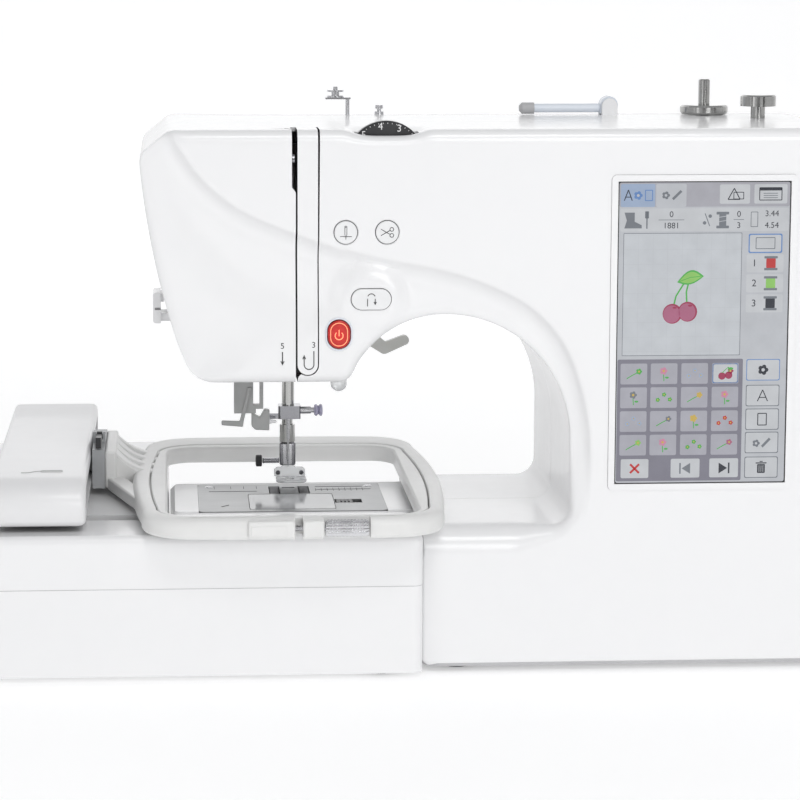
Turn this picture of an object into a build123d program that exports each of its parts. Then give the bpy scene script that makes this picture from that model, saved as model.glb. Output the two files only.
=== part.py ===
from build123d import *
import os

# Computerised sewing machine with an embroidery unit docked on its free arm.
# The operator sits at -Y, +X is to the right, +Z is up. The origin is at the
# bottom centre of the whole object.

os.makedirs("parts", exist_ok=True)

# ---------------------------------------------------------------- dimensions
foot_height = 3.0
wall = 3.0
fit = 0.05

# Machine body
front_y = -105.5
rear_y = 38.5
split_y = -33.5
top_z = 277.5
bed_z = 75.0
base_z = 6.0
base_left = 11.0
body_right = 249.5
head_left = -131.6
head_bottom_z = 150.0
front_round = 6.0

# Arched throat between the head and the pillar
throat_right = 86.5
arch_top_z = 184.0
arch_x = 22.0
arch_radius = 64.5
head_arch_radius = 51.6

# Free arm
arm_left = -117.0
arm_front_y = -62.0
arm_rear_y = 16.0

# Sewing point and shafts
needle_x = -52.7
needle_y = 0.0
presser_y = 10.0
needle_bar_radius = 3.3
presser_bar_radius = 3.0
clamp_bottom_z = 113.9
needle_tip_z = 86.0
shaft_z = 235.0
shaft_radius = 5.0
motor_y = -4.0
motor_z = 60.0
pulley_x = (176.0, 188.0)
shaft_pulley_radius = 15.0
motor_pulley_radius = 8.0
hook_y = -24.0
hook_radius = 22.5

# Needle plate
plate_x = (-102.0, -3.0)
plate_y = (-60.0, 9.0)
plate_thickness = 1.5
feed_slot_x = ((-63.5, -57.5), (-47.5, -41.5))
feed_slot_y = (-15.5, 3.5)
bobbin_cover_x = (-75.0, -30.0)
bobbin_cover_y = (-55.0, -17.0)

# Front controls
screen_x = (108.4, 195.9)
screen_z = (97.1, 251.2)
screen_border = 3.4
button_gap = 0.35
round_button_radius = 6.1
position_button = (-28.5, 226.3)
cutter_button = (-7.7, 226.3)
reverse_button_centre = (-15.6, 192.5)
reverse_button_size = (20.7, 11.2)
start_button_centre = (-31.8, 174.9)
start_button_size = (15.0, 11.9)
strip_x = (-52.6, -42.4)
strip_bottom_z = 153.0
strip_gap = 0.8
dial_centre = (-7.7, 261.8)
dial_radius = 19.7
dial_y = (-98.0, -92.0)

# Bobbin winder and spool pin on the top
winder_x = 174.5
winder_y = 10.0
spool_y = 14.4
spool_pivot = (122.7, 282.8)
spool_pin_z = 281.0

# Embroidery unit
unit_left = -277.5
unit_right = 10.4
unit_front_y = -117.0
unit_rear_y = 142.0
unit_split_z = 48.0
rail_y = -72.0
rail_z = 54.0
rail_radius = 4.0
carriage_x = (-208.0, -159.5)
carriage_y = (-107.0, 126.0)
carriage_z = (78.0, 101.3)
carriage_wall = 2.5

# Embroidery hoop
hoop_x = -55.0
hoop_y = -25.75
hoop_half_width = 82.0
hoop_half_length = 112.75
hoop_z = (77.5, 88.0)
opening_x = (-118.5, 8.5)
opening_y = (-125.0, 55.0)
opening_round = 14.0
inner_width = 6.0
hoop_screw_y = -137.6
hoop_screw_z = 83.0
hoop_screw_radius = 4.4


# ------------------------------------------------------------------- helpers
def span(limits):
    """Middle and length of a (low, high) range."""
    return (limits[0] + limits[1]) / 2, limits[1] - limits[0]


def block(x, y, z, mode=Mode.ADD):
    """Box over the given x, y and z ranges, in the part being built."""
    middle_x, length_x = span(x)
    middle_y, length_y = span(y)
    middle_z, length_z = span(z)
    with Locations((middle_x, middle_y, middle_z)):
        Box(length_x, length_y, length_z, mode=mode)


def rod_x(radius, x, y, z, mode=Mode.ADD):
    """Round bar along X."""
    middle, length = span(x)
    with Locations(Location((middle, y, z), (0, 90, 0))):
        Cylinder(radius, length, mode=mode)


def rod_y(radius, x, y, z, mode=Mode.ADD):
    """Round bar along Y."""
    middle, length = span(y)
    with Locations(Location((x, middle, z), (90, 0, 0))):
        Cylinder(radius, length, mode=mode)


def rod_z(radius, x, y, z, mode=Mode.ADD):
    """Round bar along Z."""
    middle, length = span(z)
    with Locations((x, y, middle)):
        Cylinder(radius, length, mode=mode)


def grown(limits, margin):
    """A (low, high) range made longer by margin at both ends."""
    return limits[0] - margin, limits[1] + margin


def housing_profile(y, inset=0.0):
    """Front elevation of the head, arm, pillar and base, at depth y."""
    facet_top = (head_left + 15.2, top_z)
    facet_bottom = (head_left, 265.0)
    cheek_end = (-113.5, 172.0)
    cheek_corner = (-105.0, head_bottom_z)
    arch_foot = (-26.5, head_bottom_z)
    arch_crown = (arch_x, arch_top_z)
    arch_side = (throat_right, arch_top_z - arch_radius)
    bed_corner = (throat_right, bed_z)
    shoulder = (body_right, top_z)
    slope = arch_radius * 0.5**0.5
    with BuildSketch(Plane.XZ.offset(-y)) as profile:
        with BuildLine():
            Polyline((base_left, bed_z), (base_left, base_z), (body_right, base_z), shoulder, facet_top)
            Line(facet_top, facet_bottom)
            ThreePointArc(facet_bottom, (-126.0, 222.0), cheek_end)
            Polyline(cheek_end, cheek_corner, arch_foot)
            ThreePointArc(arch_foot, (-7.6, arch_top_z - 9.3), arch_crown)
            middle_of_arch = (arch_x + slope, arch_top_z - arch_radius + slope)
            ThreePointArc(arch_crown, middle_of_arch, arch_side)
            Polyline(arch_side, bed_corner, (base_left, bed_z))
        make_face()
        rounds = ((cheek_corner, 16.0), (arch_foot, 8.0), (bed_corner, 10.0), (shoulder, 32.0))
        for corner, radius in rounds:
            fillet(profile.vertices().sort_by_distance(corner)[0], radius)
        if inset > 0:
            offset(amount=-inset, mode=Mode.REPLACE)
    return profile.sketch


def slot_hole(centre, size, turn=0):
    """Rounded oblong hole through the front wall, in the part being built."""
    with BuildSketch(Plane.XZ.offset(-front_y + 1)) as outline:
        with Locations(Location((centre[0], centre[1], 0), turn)):
            SlotOverall(size[0], size[1])
    extrude(outline.sketch, amount=-(wall + 2), mode=Mode.SUBTRACT)


# ------------------------------------------------------------- machine covers
with BuildPart() as front_cover:
    extrude(housing_profile(front_y), amount=-(split_y - front_y))
    fillet(front_cover.faces().sort_by(Axis.Y)[0].outer_wire().edges(), front_round)
    cavity_depth = split_y - front_y - wall
    extrude(housing_profile(front_y + wall, wall), amount=-cavity_depth, mode=Mode.SUBTRACT)
    # Thread path: the strip between its two slots, and the take-up lever's slot
    slot_y = (front_y - 1, front_y + 24)
    block(grown(strip_x, strip_gap), slot_y, (strip_bottom_z - strip_gap, top_z + 1), Mode.SUBTRACT)
    block((-55.9, strip_x[0]), slot_y, (247.0, top_z + 1), Mode.SUBTRACT)
    # Control openings
    for centre in (position_button, cutter_button):
        rod_y(round_button_radius, centre[0], grown((front_y, front_y + wall), 1), centre[1], Mode.SUBTRACT)
    slot_hole(reverse_button_centre, reverse_button_size)
    slot_hole(start_button_centre, start_button_size, 90)
    display_x = grown(screen_x, screen_border)
    display_z = grown(screen_z, screen_border)
    block(display_x, grown((front_y, front_y + wall), 1), display_z, Mode.SUBTRACT)
    # Tension dial slot in the top
    block((-24.0, 8.6), grown(dial_y, 2), (top_z - wall - 1, top_z + 1), Mode.SUBTRACT)
    # Passage into the free arm
    passage_z = (base_z + wall, bed_z - wall)
    block((base_left - 1, base_left + wall + 1), (arm_front_y + wall, split_y + 1), passage_z, Mode.SUBTRACT)
front_cover.part.label = "front_cover"
export_step(front_cover.part, "parts/front_cover.step")

with BuildPart() as rear_cover:
    extrude(housing_profile(rear_y), amount=rear_y - split_y)
    fillet(rear_cover.faces().sort_by(Axis.Y)[-1].outer_wire().edges(), front_round)
    cavity_depth = rear_y - split_y - wall
    extrude(housing_profile(rear_y - wall, wall), amount=cavity_depth, mode=Mode.SUBTRACT)
    block((base_left - 1, base_left + wall + 1), (split_y - 1, arm_rear_y - wall), passage_z, Mode.SUBTRACT)
    # Opening in the head's underside for the needle bar, presser bar and threader
    block((-92.0, -42.0), (-20.0, 18.0), (head_bottom_z - 1, head_bottom_z + 9), Mode.SUBTRACT)
    # Main shaft hole and the connector panel in the right side
    rod_x(8.0, (body_right - 8, body_right + 1), needle_y, shaft_z, Mode.SUBTRACT)
    block((body_right - wall - 1, body_right + 1), (-25.0, 25.0), (25.0, 95.0), Mode.SUBTRACT)
    # Bobbin winder slot in the top
    block((170.6, 185.4), (winder_y - 3.9, winder_y + 3.9), (top_z - wall - 1, top_z + 1), Mode.SUBTRACT)
    # Ears of the spool pin
    for side in (-1, 1):
        ear_y = sorted((spool_y + side * 4.2, spool_y + side * 6.0))
        block((118.9, 126.5), ear_y, (top_z - 1, 285.6))
    ear_y = (spool_y - 7, spool_y + 7)
    rod_y(1.25, spool_pivot[0], ear_y, spool_pivot[1], Mode.SUBTRACT)
    # Pivot of the presser foot lever
    rod_y(2.5, -28.0, (rear_y - 1, rear_y + 5.4), 168.0)
    rod_y(4.5, -28.0, (rear_y - 1, rear_y + 0.4), 168.0)
    # Cooling slots in the back
    with BuildSketch(Plane.XZ.offset(-rear_y - 1)) as vents:
        with Locations((170.0, 70.0)):
            with GridLocations(0, 8.0, 1, 7):
                SlotOverall(64.0, 3.0)
    extrude(vents.sketch, amount=wall + 2, mode=Mode.SUBTRACT)
rear_cover.part.label = "rear_cover"
export_step(rear_cover.part, "parts/rear_cover.step")

with BuildPart() as bottom_cover:
    block((base_left + 0.5, body_right - 0.5), (front_y + 0.5, rear_y - 0.5), (foot_height, base_z))
    fillet(bottom_cover.edges().filter_by(Axis.Z), 8.0)
    block((arm_left + 0.5, base_left + 9), (arm_front_y + 0.5, arm_rear_y - 0.5), (foot_height, base_z))
bottom_cover.part.label = "bottom_cover"
export_step(bottom_cover.part, "parts/bottom_cover.step")

with BuildPart() as free_arm_cover:
    block((arm_left, base_left), (arm_front_y, arm_rear_y), (base_z, bed_z))
    fillet(free_arm_cover.edges().filter_by(Axis.Z).group_by(Axis.X)[0], 6.0)
    rear_top_edge = free_arm_cover.edges().filter_by(Axis.X).group_by(Axis.Z)[-1].sort_by(Axis.Y)[-1]
    chamfer(rear_top_edge, 2.5)
    block(
        (arm_left + wall, base_left + 1),
        (arm_front_y + wall, arm_rear_y - wall),
        (base_z - 1, bed_z - wall),
        Mode.SUBTRACT,
    )
    seat_z = (bed_z - plate_thickness, bed_z + 1)
    block(grown(plate_x, 0.1), grown(plate_y, 0.1), seat_z, Mode.SUBTRACT)
    block((-98.0, -7.0), (-58.0, 6.0), (bed_z - wall - 1, bed_z), Mode.SUBTRACT)
free_arm_cover.part.label = "free_arm_cover"
export_step(free_arm_cover.part, "parts/free_arm_cover.step")

with BuildPart() as thread_strip:
    block(strip_x, (front_y, front_y + wall), (strip_bottom_z, top_z))
    fillet(thread_strip.edges().filter_by(Axis.Y).group_by(Axis.Z)[0], 4.5)
    block(strip_x, (front_y, front_y + 20), (top_z - wall, top_z))
    # Arm that ties the strip to the upper needle bar guide
    block((-50.0, -44.0), (front_y + wall - 1, -8.0), (205.0, 213.0))
thread_strip.part.label = "thread_strip"
export_step(thread_strip.part, "parts/thread_strip.step")

# ------------------------------------------------------------- inner structure
frame_y = (18.0, 30.0)
shaft_block_x = ((-20.0, -6.0), (88.0, 102.0), (190.0, 204.0))
guide_z = ((163.0, 171.0), (205.0, 213.0))
hook_block_z = (15.0, 40.0)
bush_radius = 8.0
take_up_pivot = (-40.0, 232.0)
with BuildPart() as main_frame:
    block((-62.0, 210.0), frame_y, (196.0, 262.0))
    block((-62.0, -36.0), frame_y, (160.0, 197.0))
    block((150.0, 210.0), frame_y, (9.0, 197.0))
    block((20.0, 210.0), (-50.0, frame_y[1]), (9.0, 15.0))
    block((-110.0, 21.0), (-55.0, 10.0), (9.0, 15.0))
    block((-66.0, -39.0), (-38.0, -10.0), hook_block_z)
    for block_x in shaft_block_x:
        block(block_x, (-12.0, frame_y[0] + 1), (shaft_z - 12, shaft_z + 12))
        rod_x(bush_radius, grown(block_x, 1), needle_y, shaft_z, Mode.SUBTRACT)
    for block_z in guide_z:
        block((-62.0, -43.5), (-8.0, frame_y[0] + 1), block_z)
        rod_z(needle_bar_radius + fit, needle_x, needle_y, grown(block_z, 1), Mode.SUBTRACT)
        rod_z(presser_bar_radius + fit, needle_x, presser_y, grown(block_z, 1), Mode.SUBTRACT)
    rod_z(4.0 + fit, needle_x, hook_y, grown(hook_block_z, 1), Mode.SUBTRACT)
    # Bracket and pin of the take-up lever
    block((-62.0, -57.5), (-46.0, frame_y[0] + 1), (226.0, 238.0))
    rod_x(2.0, (-58.0, -51.0), take_up_pivot[0], take_up_pivot[1])
main_frame.part.label = "main_frame"
export_step(main_frame.part, "parts/main_frame.step")

with BuildPart() as shaft_bushes:
    for block_x in shaft_block_x:
        rod_x(bush_radius, block_x, needle_y, shaft_z)
        rod_x(shaft_radius + fit, grown(block_x, 1), needle_y, shaft_z, Mode.SUBTRACT)
shaft_bushes.part.label = "shaft_bushes"
export_step(shaft_bushes.part, "parts/shaft_bushes.step")

with BuildPart() as main_motor:
    rod_x(22.0, (118.0, 170.0), motor_y, motor_z)
    fillet(main_motor.edges().filter_by(GeomType.CIRCLE), 2.0)
    rod_x(7.0, (169.0, 172.0), motor_y, motor_z)
main_motor.part.label = "main_motor"
export_step(main_motor.part, "parts/main_motor.step")


def belt_loop(clearance):
    """Loop round both pulleys, clearance outside their rims."""
    with BuildSketch(Plane.YZ.offset(pulley_x[0] + 2)) as loop:
        with Locations((needle_y, shaft_z)):
            Circle(shaft_pulley_radius + clearance)
        with Locations((motor_y, motor_z)):
            Circle(motor_pulley_radius + clearance)
        make_hull()
    return loop.sketch


belt_width = 8.0
with BuildPart() as drive_belt:
    extrude(belt_loop(2.0), amount=belt_width)
    extrude(belt_loop(0.4), amount=belt_width, mode=Mode.SUBTRACT)
drive_belt.part.label = "drive_belt"
export_step(drive_belt.part, "parts/drive_belt.step")

with BuildPart() as control_board:
    block((112.0, 192.0), (-99.0, -97.4), (100.0, 248.0))
    for chip_z in (125.0, 165.0, 205.0):
        block((135.0, 160.0), (-97.5, -94.5), (chip_z, chip_z + 22.0))
control_board.part.label = "control_board"
export_step(control_board.part, "parts/control_board.step")

# ------------------------------------------------------- main shaft and pulleys
with BuildPart() as main_shaft:
    rod_x(shaft_radius, (-36.5, 262.0), needle_y, shaft_z)
    rod_x(14.0, (-44.0, -36.0), needle_y, shaft_z)
    rod_x(shaft_pulley_radius, pulley_x, needle_y, shaft_z)
main_shaft.part.label = "main_shaft"
export_step(main_shaft.part, "parts/main_shaft.step")

wheel_radius = 30.0
wheel_x = (250.3, 277.5)
with BuildPart() as handwheel:
    rod_x(wheel_radius, wheel_x, needle_y, shaft_z)
    fillet(handwheel.edges().filter_by(GeomType.CIRCLE), 4.0)
    rod_x(21.0, (wheel_x[1] - 5, wheel_x[1] + 1), needle_y, shaft_z, Mode.SUBTRACT)
    rod_x(shaft_radius + fit, (wheel_x[0] - 1, 262.1), needle_y, shaft_z, Mode.SUBTRACT)
handwheel.part.label = "handwheel"
export_step(handwheel.part, "parts/handwheel.step")

with BuildPart() as motor_pulley:
    rod_x(motor_pulley_radius, pulley_x, motor_y, motor_z)
    rod_x(2.5, (172.4, pulley_x[0] + 1), motor_y, motor_z)
motor_pulley.part.label = "motor_pulley"
export_step(motor_pulley.part, "parts/motor_pulley.step")

# --------------------------------------------------------- needle and its drive
take_up_tip = (-92.0, 262.0)
with BuildPart() as take_up_lever:
    with BuildSketch(Plane.YZ.offset(-54.7)) as lever_arm:
        with Locations(take_up_pivot):
            Circle(5.0)
        with Locations(take_up_tip):
            Circle(2.6)
        make_hull()
        with Locations(take_up_pivot):
            Circle(2.0 + fit, mode=Mode.SUBTRACT)
        with Locations(take_up_tip):
            Circle(1.1, mode=Mode.SUBTRACT)
    extrude(amount=1.2)
take_up_lever.part.label = "take_up_lever"
export_step(take_up_lever.part, "parts/take_up_lever.step")

with BuildPart() as needle_bar:
    rod_z(needle_bar_radius, needle_x, needle_y, (clamp_bottom_z, 224.0))
    chamfer(needle_bar.edges().filter_by(GeomType.CIRCLE), 0.4)
needle_bar.part.label = "needle_bar"
export_step(needle_bar.part, "parts/needle_bar.step")

clamp_z = (clamp_bottom_z, 121.0)
clamp_screw_z = 118.0
clamp_screw_y = -0.5
with BuildPart() as needle_clamp:
    block((-58.2, -46.0), (-5.5, 4.5), clamp_z)
    fillet(needle_clamp.edges().filter_by(Axis.Z), 1.5)
    block((-62.9, -58.0), (-4.5, -3.0), (clamp_z[0], clamp_z[0] + 3))
    rod_z(needle_bar_radius + 0.02, needle_x, needle_y, grown(clamp_z, 1), Mode.SUBTRACT)
    rod_x(1.5 + fit, (-49.3, -45.0), clamp_screw_y, clamp_screw_z, Mode.SUBTRACT)
needle_clamp.part.label = "needle_clamp"
export_step(needle_clamp.part, "parts/needle_clamp.step")

with BuildPart() as needle:
    rod_z(1.0, needle_x, needle_y, (102.0, clamp_bottom_z))
    rod_z(0.5, needle_x, needle_y, (needle_tip_z + 3, 102.5))
    with Locations((needle_x, needle_y, needle_tip_z + 1.5)):
        Cone(0.05, 0.5, 3.0)
needle.part.label = "needle"
export_step(needle.part, "parts/needle.step")

clamp_knob_x = (-38.8, -33.9)
with BuildPart() as needle_clamp_screw:
    rod_x(4.9, clamp_knob_x, clamp_screw_y, clamp_screw_z)
    chamfer(needle_clamp_screw.edges().filter_by(GeomType.CIRCLE), 0.6)
    rod_x(1.5, (-48.9, -38.0), clamp_screw_y, clamp_screw_z)
needle_clamp_screw.part.label = "needle_clamp_screw"
export_step(needle_clamp_screw.part, "parts/needle_clamp_screw.step")

# ------------------------------------------------------ presser bar and its foot
with BuildPart() as presser_bar:
    rod_z(presser_bar_radius, needle_x, presser_y, (99.0, 219.0))
    rod_z(4.25, needle_x, presser_y, (99.0, 108.6))
presser_bar.part.label = "presser_bar"
export_step(presser_bar.part, "parts/presser_bar.step")

foot_z = (78.5, 80.0)
foot_screw_y = 8.2
foot_screw_z = 88.5
with BuildPart() as embroidery_foot:
    block((-57.2, -48.2), (5.2, 13.6), (84.5, 99.0))
    fillet(embroidery_foot.edges().filter_by(Axis.Z), 1.2)
    block((-55.2, -50.2), (5.2, 8.5), (foot_z[0], 85.0))
    block((-50.5, -42.6), (5.2, 8.2), (foot_z[0], 84.5))
    with BuildSketch(Plane.XY.offset(foot_z[0])) as toe:
        with Locations((needle_x, needle_y)):
            Circle(5.4)
        with Locations((-46.0, 4.0)):
            RectangleRounded(6.8, 6.0, 1.0)
        with Locations((needle_x, 4.5)):
            Rectangle(5.0, 3.0)
        with Locations((needle_x, needle_y)):
            Circle(3.0, mode=Mode.SUBTRACT)
    extrude(amount=foot_z[1] - foot_z[0])
    rod_x(1.5 + fit, (-58.0, -54.0), foot_screw_y, foot_screw_z, Mode.SUBTRACT)
embroidery_foot.part.label = "embroidery_foot"
export_step(embroidery_foot.part, "parts/embroidery_foot.step")

with BuildPart() as foot_screw:
    rod_x(3.2, (-70.2, -66.6), foot_screw_y, foot_screw_z)
    chamfer(foot_screw.edges().filter_by(GeomType.CIRCLE), 0.5)
    rod_x(1.5, (-67.0, -54.3), foot_screw_y, foot_screw_z)
foot_screw.part.label = "foot_screw"
export_step(foot_screw.part, "parts/foot_screw.step")

lever_pivot = (-28.0, 168.0)
lever_elbow = (3.0, 145.5)
lever_tip = (14.0, 150.0)
with BuildPart() as presser_lever:
    for start, start_radius, end, end_radius in (
        (lever_pivot, 6.0, lever_elbow, 3.2),
        (lever_elbow, 3.2, lever_tip, 2.8),
    ):
        with BuildSketch(Plane.XZ.offset(-rear_y - 0.7)) as lever_link:
            with Locations(start):
                Circle(start_radius)
            with Locations(end):
                Circle(end_radius)
            make_hull()
        extrude(amount=-4.0)
    rod_y(2.5 + fit, lever_pivot[0], (rear_y, rear_y + 6), lever_pivot[1], Mode.SUBTRACT)
presser_lever.part.label = "presser_lever"
export_step(presser_lever.part, "parts/presser_lever.step")

with BuildPart() as needle_threader:
    block((-82.2, -70.5), (-13.0, -7.5), (119.0, 168.0))
    fillet(needle_threader.edges().filter_by(Axis.Z), 1.2)
    block((-89.3, -76.0), (-13.0, -9.5), (110.0, 114.5))
    block((-80.5, -76.5), (-12.5, -9.5), (112.0, 120.0))
    block((-72.8, -64.0), (-12.5, -8.5), (116.0, 121.5))
    block((-66.8, -63.8), (-12.5, -8.5), (108.3, 117.0))
needle_threader.part.label = "needle_threader"
export_step(needle_threader.part, "parts/needle_threader.step")

# ------------------------------------------------- needle plate, hook and feed
with BuildPart() as needle_plate:
    block(plate_x, plate_y, (bed_z - plate_thickness, bed_z))
    fillet(needle_plate.edges().filter_by(Axis.Z), 3.0)
    cut_z = (bed_z - plate_thickness - 1, bed_z + 1)
    for slot_x in feed_slot_x:
        block(slot_x, feed_slot_y, cut_z, Mode.SUBTRACT)
    block((needle_x - 3.5, needle_x + 3.5), (-1.2, 1.2), cut_z, Mode.SUBTRACT)
    block(grown(bobbin_cover_x, 0.2), grown(bobbin_cover_y, 0.2), cut_z, Mode.SUBTRACT)
    block((-29.5, -15.0), (-40.4, -31.6), cut_z, Mode.SUBTRACT)
needle_plate.part.label = "needle_plate"
export_step(needle_plate.part, "parts/needle_plate.step")

with BuildPart() as bobbin_cover:
    block(bobbin_cover_x, bobbin_cover_y, (bed_z - plate_thickness, bed_z))
    fillet(bobbin_cover.edges().filter_by(Axis.Z), 2.0)
    block(grown(bobbin_cover_x, 1.2), (-57.0, -17.0), (bed_z - 2.7, bed_z - plate_thickness))
bobbin_cover.part.label = "bobbin_cover"
export_step(bobbin_cover.part, "parts/bobbin_cover.step")

with BuildPart() as bobbin_cover_latch:
    block((-28.6, -20.0), (-40.0, -32.0), (bed_z - 1.2, bed_z))
    fillet(bobbin_cover_latch.edges().filter_by(Axis.Z), 1.5)
    for ridge_x in (-26.0, -24.0, -22.0):
        block((ridge_x - 0.4, ridge_x + 0.4), (-38.5, -33.5), (bed_z - 0.5, bed_z + 0.5))
bobbin_cover_latch.part.label = "bobbin_cover_latch"
export_step(bobbin_cover_latch.part, "parts/bobbin_cover_latch.step")

with BuildPart() as rotary_hook:
    rod_z(hook_radius, needle_x, hook_y, (50.0, 69.0))
    rod_z(12.0, needle_x, hook_y, (57.0, 70.0), Mode.SUBTRACT)
    rod_z(4.0, needle_x, hook_y, (20.0, 51.0))
rotary_hook.part.label = "rotary_hook"
export_step(rotary_hook.part, "parts/rotary_hook.step")

with BuildPart() as bobbin:
    rod_z(10.2, needle_x, hook_y, (57.4, 68.6))
    rod_z(11.2, needle_x, hook_y, (57.4, 58.4))
    rod_z(11.2, needle_x, hook_y, (67.6, 68.6))
    rod_z(3.1, needle_x, hook_y, (56.0, 70.0), Mode.SUBTRACT)
bobbin.part.label = "bobbin"
export_step(bobbin.part, "parts/bobbin.step")

with BuildPart() as feed_dogs:
    for bar_x in feed_slot_x:
        block(grown(bar_x, -0.6), grown(feed_slot_y, -0.6), (70.5, 74.2))
        for tooth in range(8):
            tooth_y = feed_slot_y[0] + 1.6 + tooth * 2.2
            block(grown(bar_x, -0.6), (tooth_y, tooth_y + 1.1), (74.0, 74.8))
    block((feed_slot_x[0][0] + 0.6, feed_slot_x[1][1] - 0.6), (1.6, 4.6), (70.3, 72.3))
feed_dogs.part.label = "feed_dogs"
export_step(feed_dogs.part, "parts/feed_dogs.step")

# ----------------------------------------------------------------- front controls
with BuildPart() as display_bezel:
    bezel_y = (front_y - 0.8, front_y + wall)
    block(grown(screen_x, screen_border - 0.1), bezel_y, grown(screen_z, screen_border - 0.1))
    fillet(display_bezel.edges().filter_by(Axis.Y), 2.5)
    block(grown(screen_x, 0.1), grown(bezel_y, 1), grown(screen_z, 0.1), Mode.SUBTRACT)
    block(grown(screen_x, 2.0), (front_y + 1.5, front_y + wall + 1), grown(screen_z, 2.0), Mode.SUBTRACT)
display_bezel.part.label = "display_bezel"
export_step(display_bezel.part, "parts/display_bezel.step")

with BuildPart() as touch_screen:
    block(screen_x, (front_y - 0.3, front_y + 1.5), screen_z)
    fillet(touch_screen.edges().filter_by(Axis.Y), 1.2)
    block(grown(screen_x, 1.9), (front_y + 1.5, front_y + 5.5), grown(screen_z, 1.9))
touch_screen.part.label = "touch_screen"
export_step(touch_screen.part, "parts/touch_screen.step")

button_y = (front_y - 0.7, front_y + 7.0)
with BuildPart() as needle_position_button:
    rod_y(round_button_radius - button_gap, position_button[0], button_y, position_button[1])
    fillet(needle_position_button.faces().sort_by(Axis.Y)[0].edges(), 0.6)
needle_position_button.part.label = "needle_position_button"
export_step(needle_position_button.part, "parts/needle_position_button.step")

with BuildPart() as thread_cutter_button:
    rod_y(round_button_radius - button_gap, cutter_button[0], button_y, cutter_button[1])
    fillet(thread_cutter_button.faces().sort_by(Axis.Y)[0].edges(), 0.6)
thread_cutter_button.part.label = "thread_cutter_button"
export_step(thread_cutter_button.part, "parts/thread_cutter_button.step")


def oblong_button(centre, size, turn=0):
    """Outline of a rounded oblong button, clear of its opening all round."""
    with BuildSketch(Plane.XZ.offset(-button_y[0])) as outline:
        with Locations(Location((centre[0], centre[1], 0), turn)):
            SlotOverall(size[0] - 2 * button_gap, size[1] - 2 * button_gap)
    return outline.sketch


with BuildPart() as reverse_button:
    extrude(oblong_button(reverse_button_centre, reverse_button_size), amount=-(button_y[1] - button_y[0]))
    fillet(reverse_button.faces().sort_by(Axis.Y)[0].edges(), 0.6)
reverse_button.part.label = "reverse_button"
export_step(reverse_button.part, "parts/reverse_button.step")

with BuildPart() as start_stop_button:
    extrude(oblong_button(start_button_centre, start_button_size, 90), amount=-(button_y[1] - button_y[0]))
    fillet(start_stop_button.faces().sort_by(Axis.Y)[0].edges(), 0.6)
start_stop_button.part.label = "start_stop_button"
export_step(start_stop_button.part, "parts/start_stop_button.step")

with BuildPart() as tension_dial:
    rod_y(dial_radius, dial_centre[0], dial_y, dial_centre[1])
    chamfer(tension_dial.edges().filter_by(GeomType.CIRCLE), 0.8)
    rod_y(4.0, dial_centre[0], (dial_y[1] - 1, dial_y[1] + 8), dial_centre[1])
tension_dial.part.label = "tension_dial"
export_step(tension_dial.part, "parts/tension_dial.step")

# ------------------------------------------------------ head, side and top details
with BuildPart() as lamp_lens:
    rod_z(4.2, -31.1, -92.0, (head_bottom_z - 2.0, head_bottom_z))
    with Locations((-31.1, -92.0, head_bottom_z - 2.0)):
        Sphere(4.2)
    block((-40.0, -20.0), (-100.0, -80.0), (head_bottom_z, head_bottom_z + 10), Mode.SUBTRACT)
lamp_lens.part.label = "lamp_lens"
export_step(lamp_lens.part, "parts/lamp_lens.step")

with BuildPart() as thread_cutter:
    block((-125.2, -121.2), (-70.0, -50.0), (176.0, 192.0))
    fillet(thread_cutter.edges().filter_by(Axis.Y).group_by(Axis.X)[0], 1.5)
    block((-124.2, -121.0), (-71.0, -66.0), (183.0, 184.2), Mode.SUBTRACT)
    block((-121.3, -119.6), (-68.0, -52.0), (187.0, 191.0))
    block((-121.3, -116.4), (-68.0, -52.0), (177.0, 181.0))
thread_cutter.part.label = "thread_cutter"
export_step(thread_cutter.part, "parts/thread_cutter.step")

guide_post = (-19.4, 18.6)
with BuildPart() as upper_thread_guide:
    rod_z(1.1, guide_post[0], guide_post[1], (top_z, 286.5))
    block((-31.5, guide_post[0] + 1.5), (guide_post[1] - 3.5, guide_post[1] + 3.5), (286.0, 287.0))
    rod_z(4.6, -26.0, guide_post[1], (287.0, 288.0))
    rod_z(2.2, -26.0, guide_post[1], (287.5, 290.5))
    rod_z(4.6, -26.0, guide_post[1], (290.0, 291.0))
    rod_z(1.3, -26.0, guide_post[1], (290.5, 292.8))
upper_thread_guide.part.label = "upper_thread_guide"
export_step(upper_thread_guide.part, "parts/upper_thread_guide.step")

with BuildPart() as pretension_guide:
    rod_z(2.6, -1.8, 22.9, (top_z, 279.0))
    rod_z(1.2, -1.8, 22.9, (278.5, 281.0))
    rod_z(2.2, -1.8, 22.9, (280.5, 282.5))
pretension_guide.part.label = "pretension_guide"
export_step(pretension_guide.part, "parts/pretension_guide.step")

with BuildPart() as spool_pin:
    rod_x(2.4, (76.0, 119.5), spool_y, spool_pin_z)
    rod_y(4.7, spool_pivot[0], (spool_y - 3.9, spool_y + 3.9), spool_pivot[1])
    block((118.0, 127.4), (spool_y - 3.9, spool_y + 3.9), (278.1, spool_pivot[1]))
    fillet(spool_pin.edges().filter_by(Axis.Y).group_by(Axis.Z)[0].sort_by(Axis.X)[-1], 4.0)
    rod_y(1.2, spool_pivot[0], (spool_y - 5.9, spool_y + 5.9), spool_pivot[1])
spool_pin.part.label = "spool_pin"
export_step(spool_pin.part, "parts/spool_pin.step")

with BuildPart() as spool_cap:
    rod_x(3.1, (74.0, 82.0), spool_y, spool_pin_z)
    chamfer(spool_cap.faces().sort_by(Axis.X)[0].edges(), 1.5)
    rod_x(2.4 + fit, (75.9, 83.0), spool_y, spool_pin_z, Mode.SUBTRACT)
spool_cap.part.label = "spool_cap"
export_step(spool_cap.part, "parts/spool_cap.step")

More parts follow.
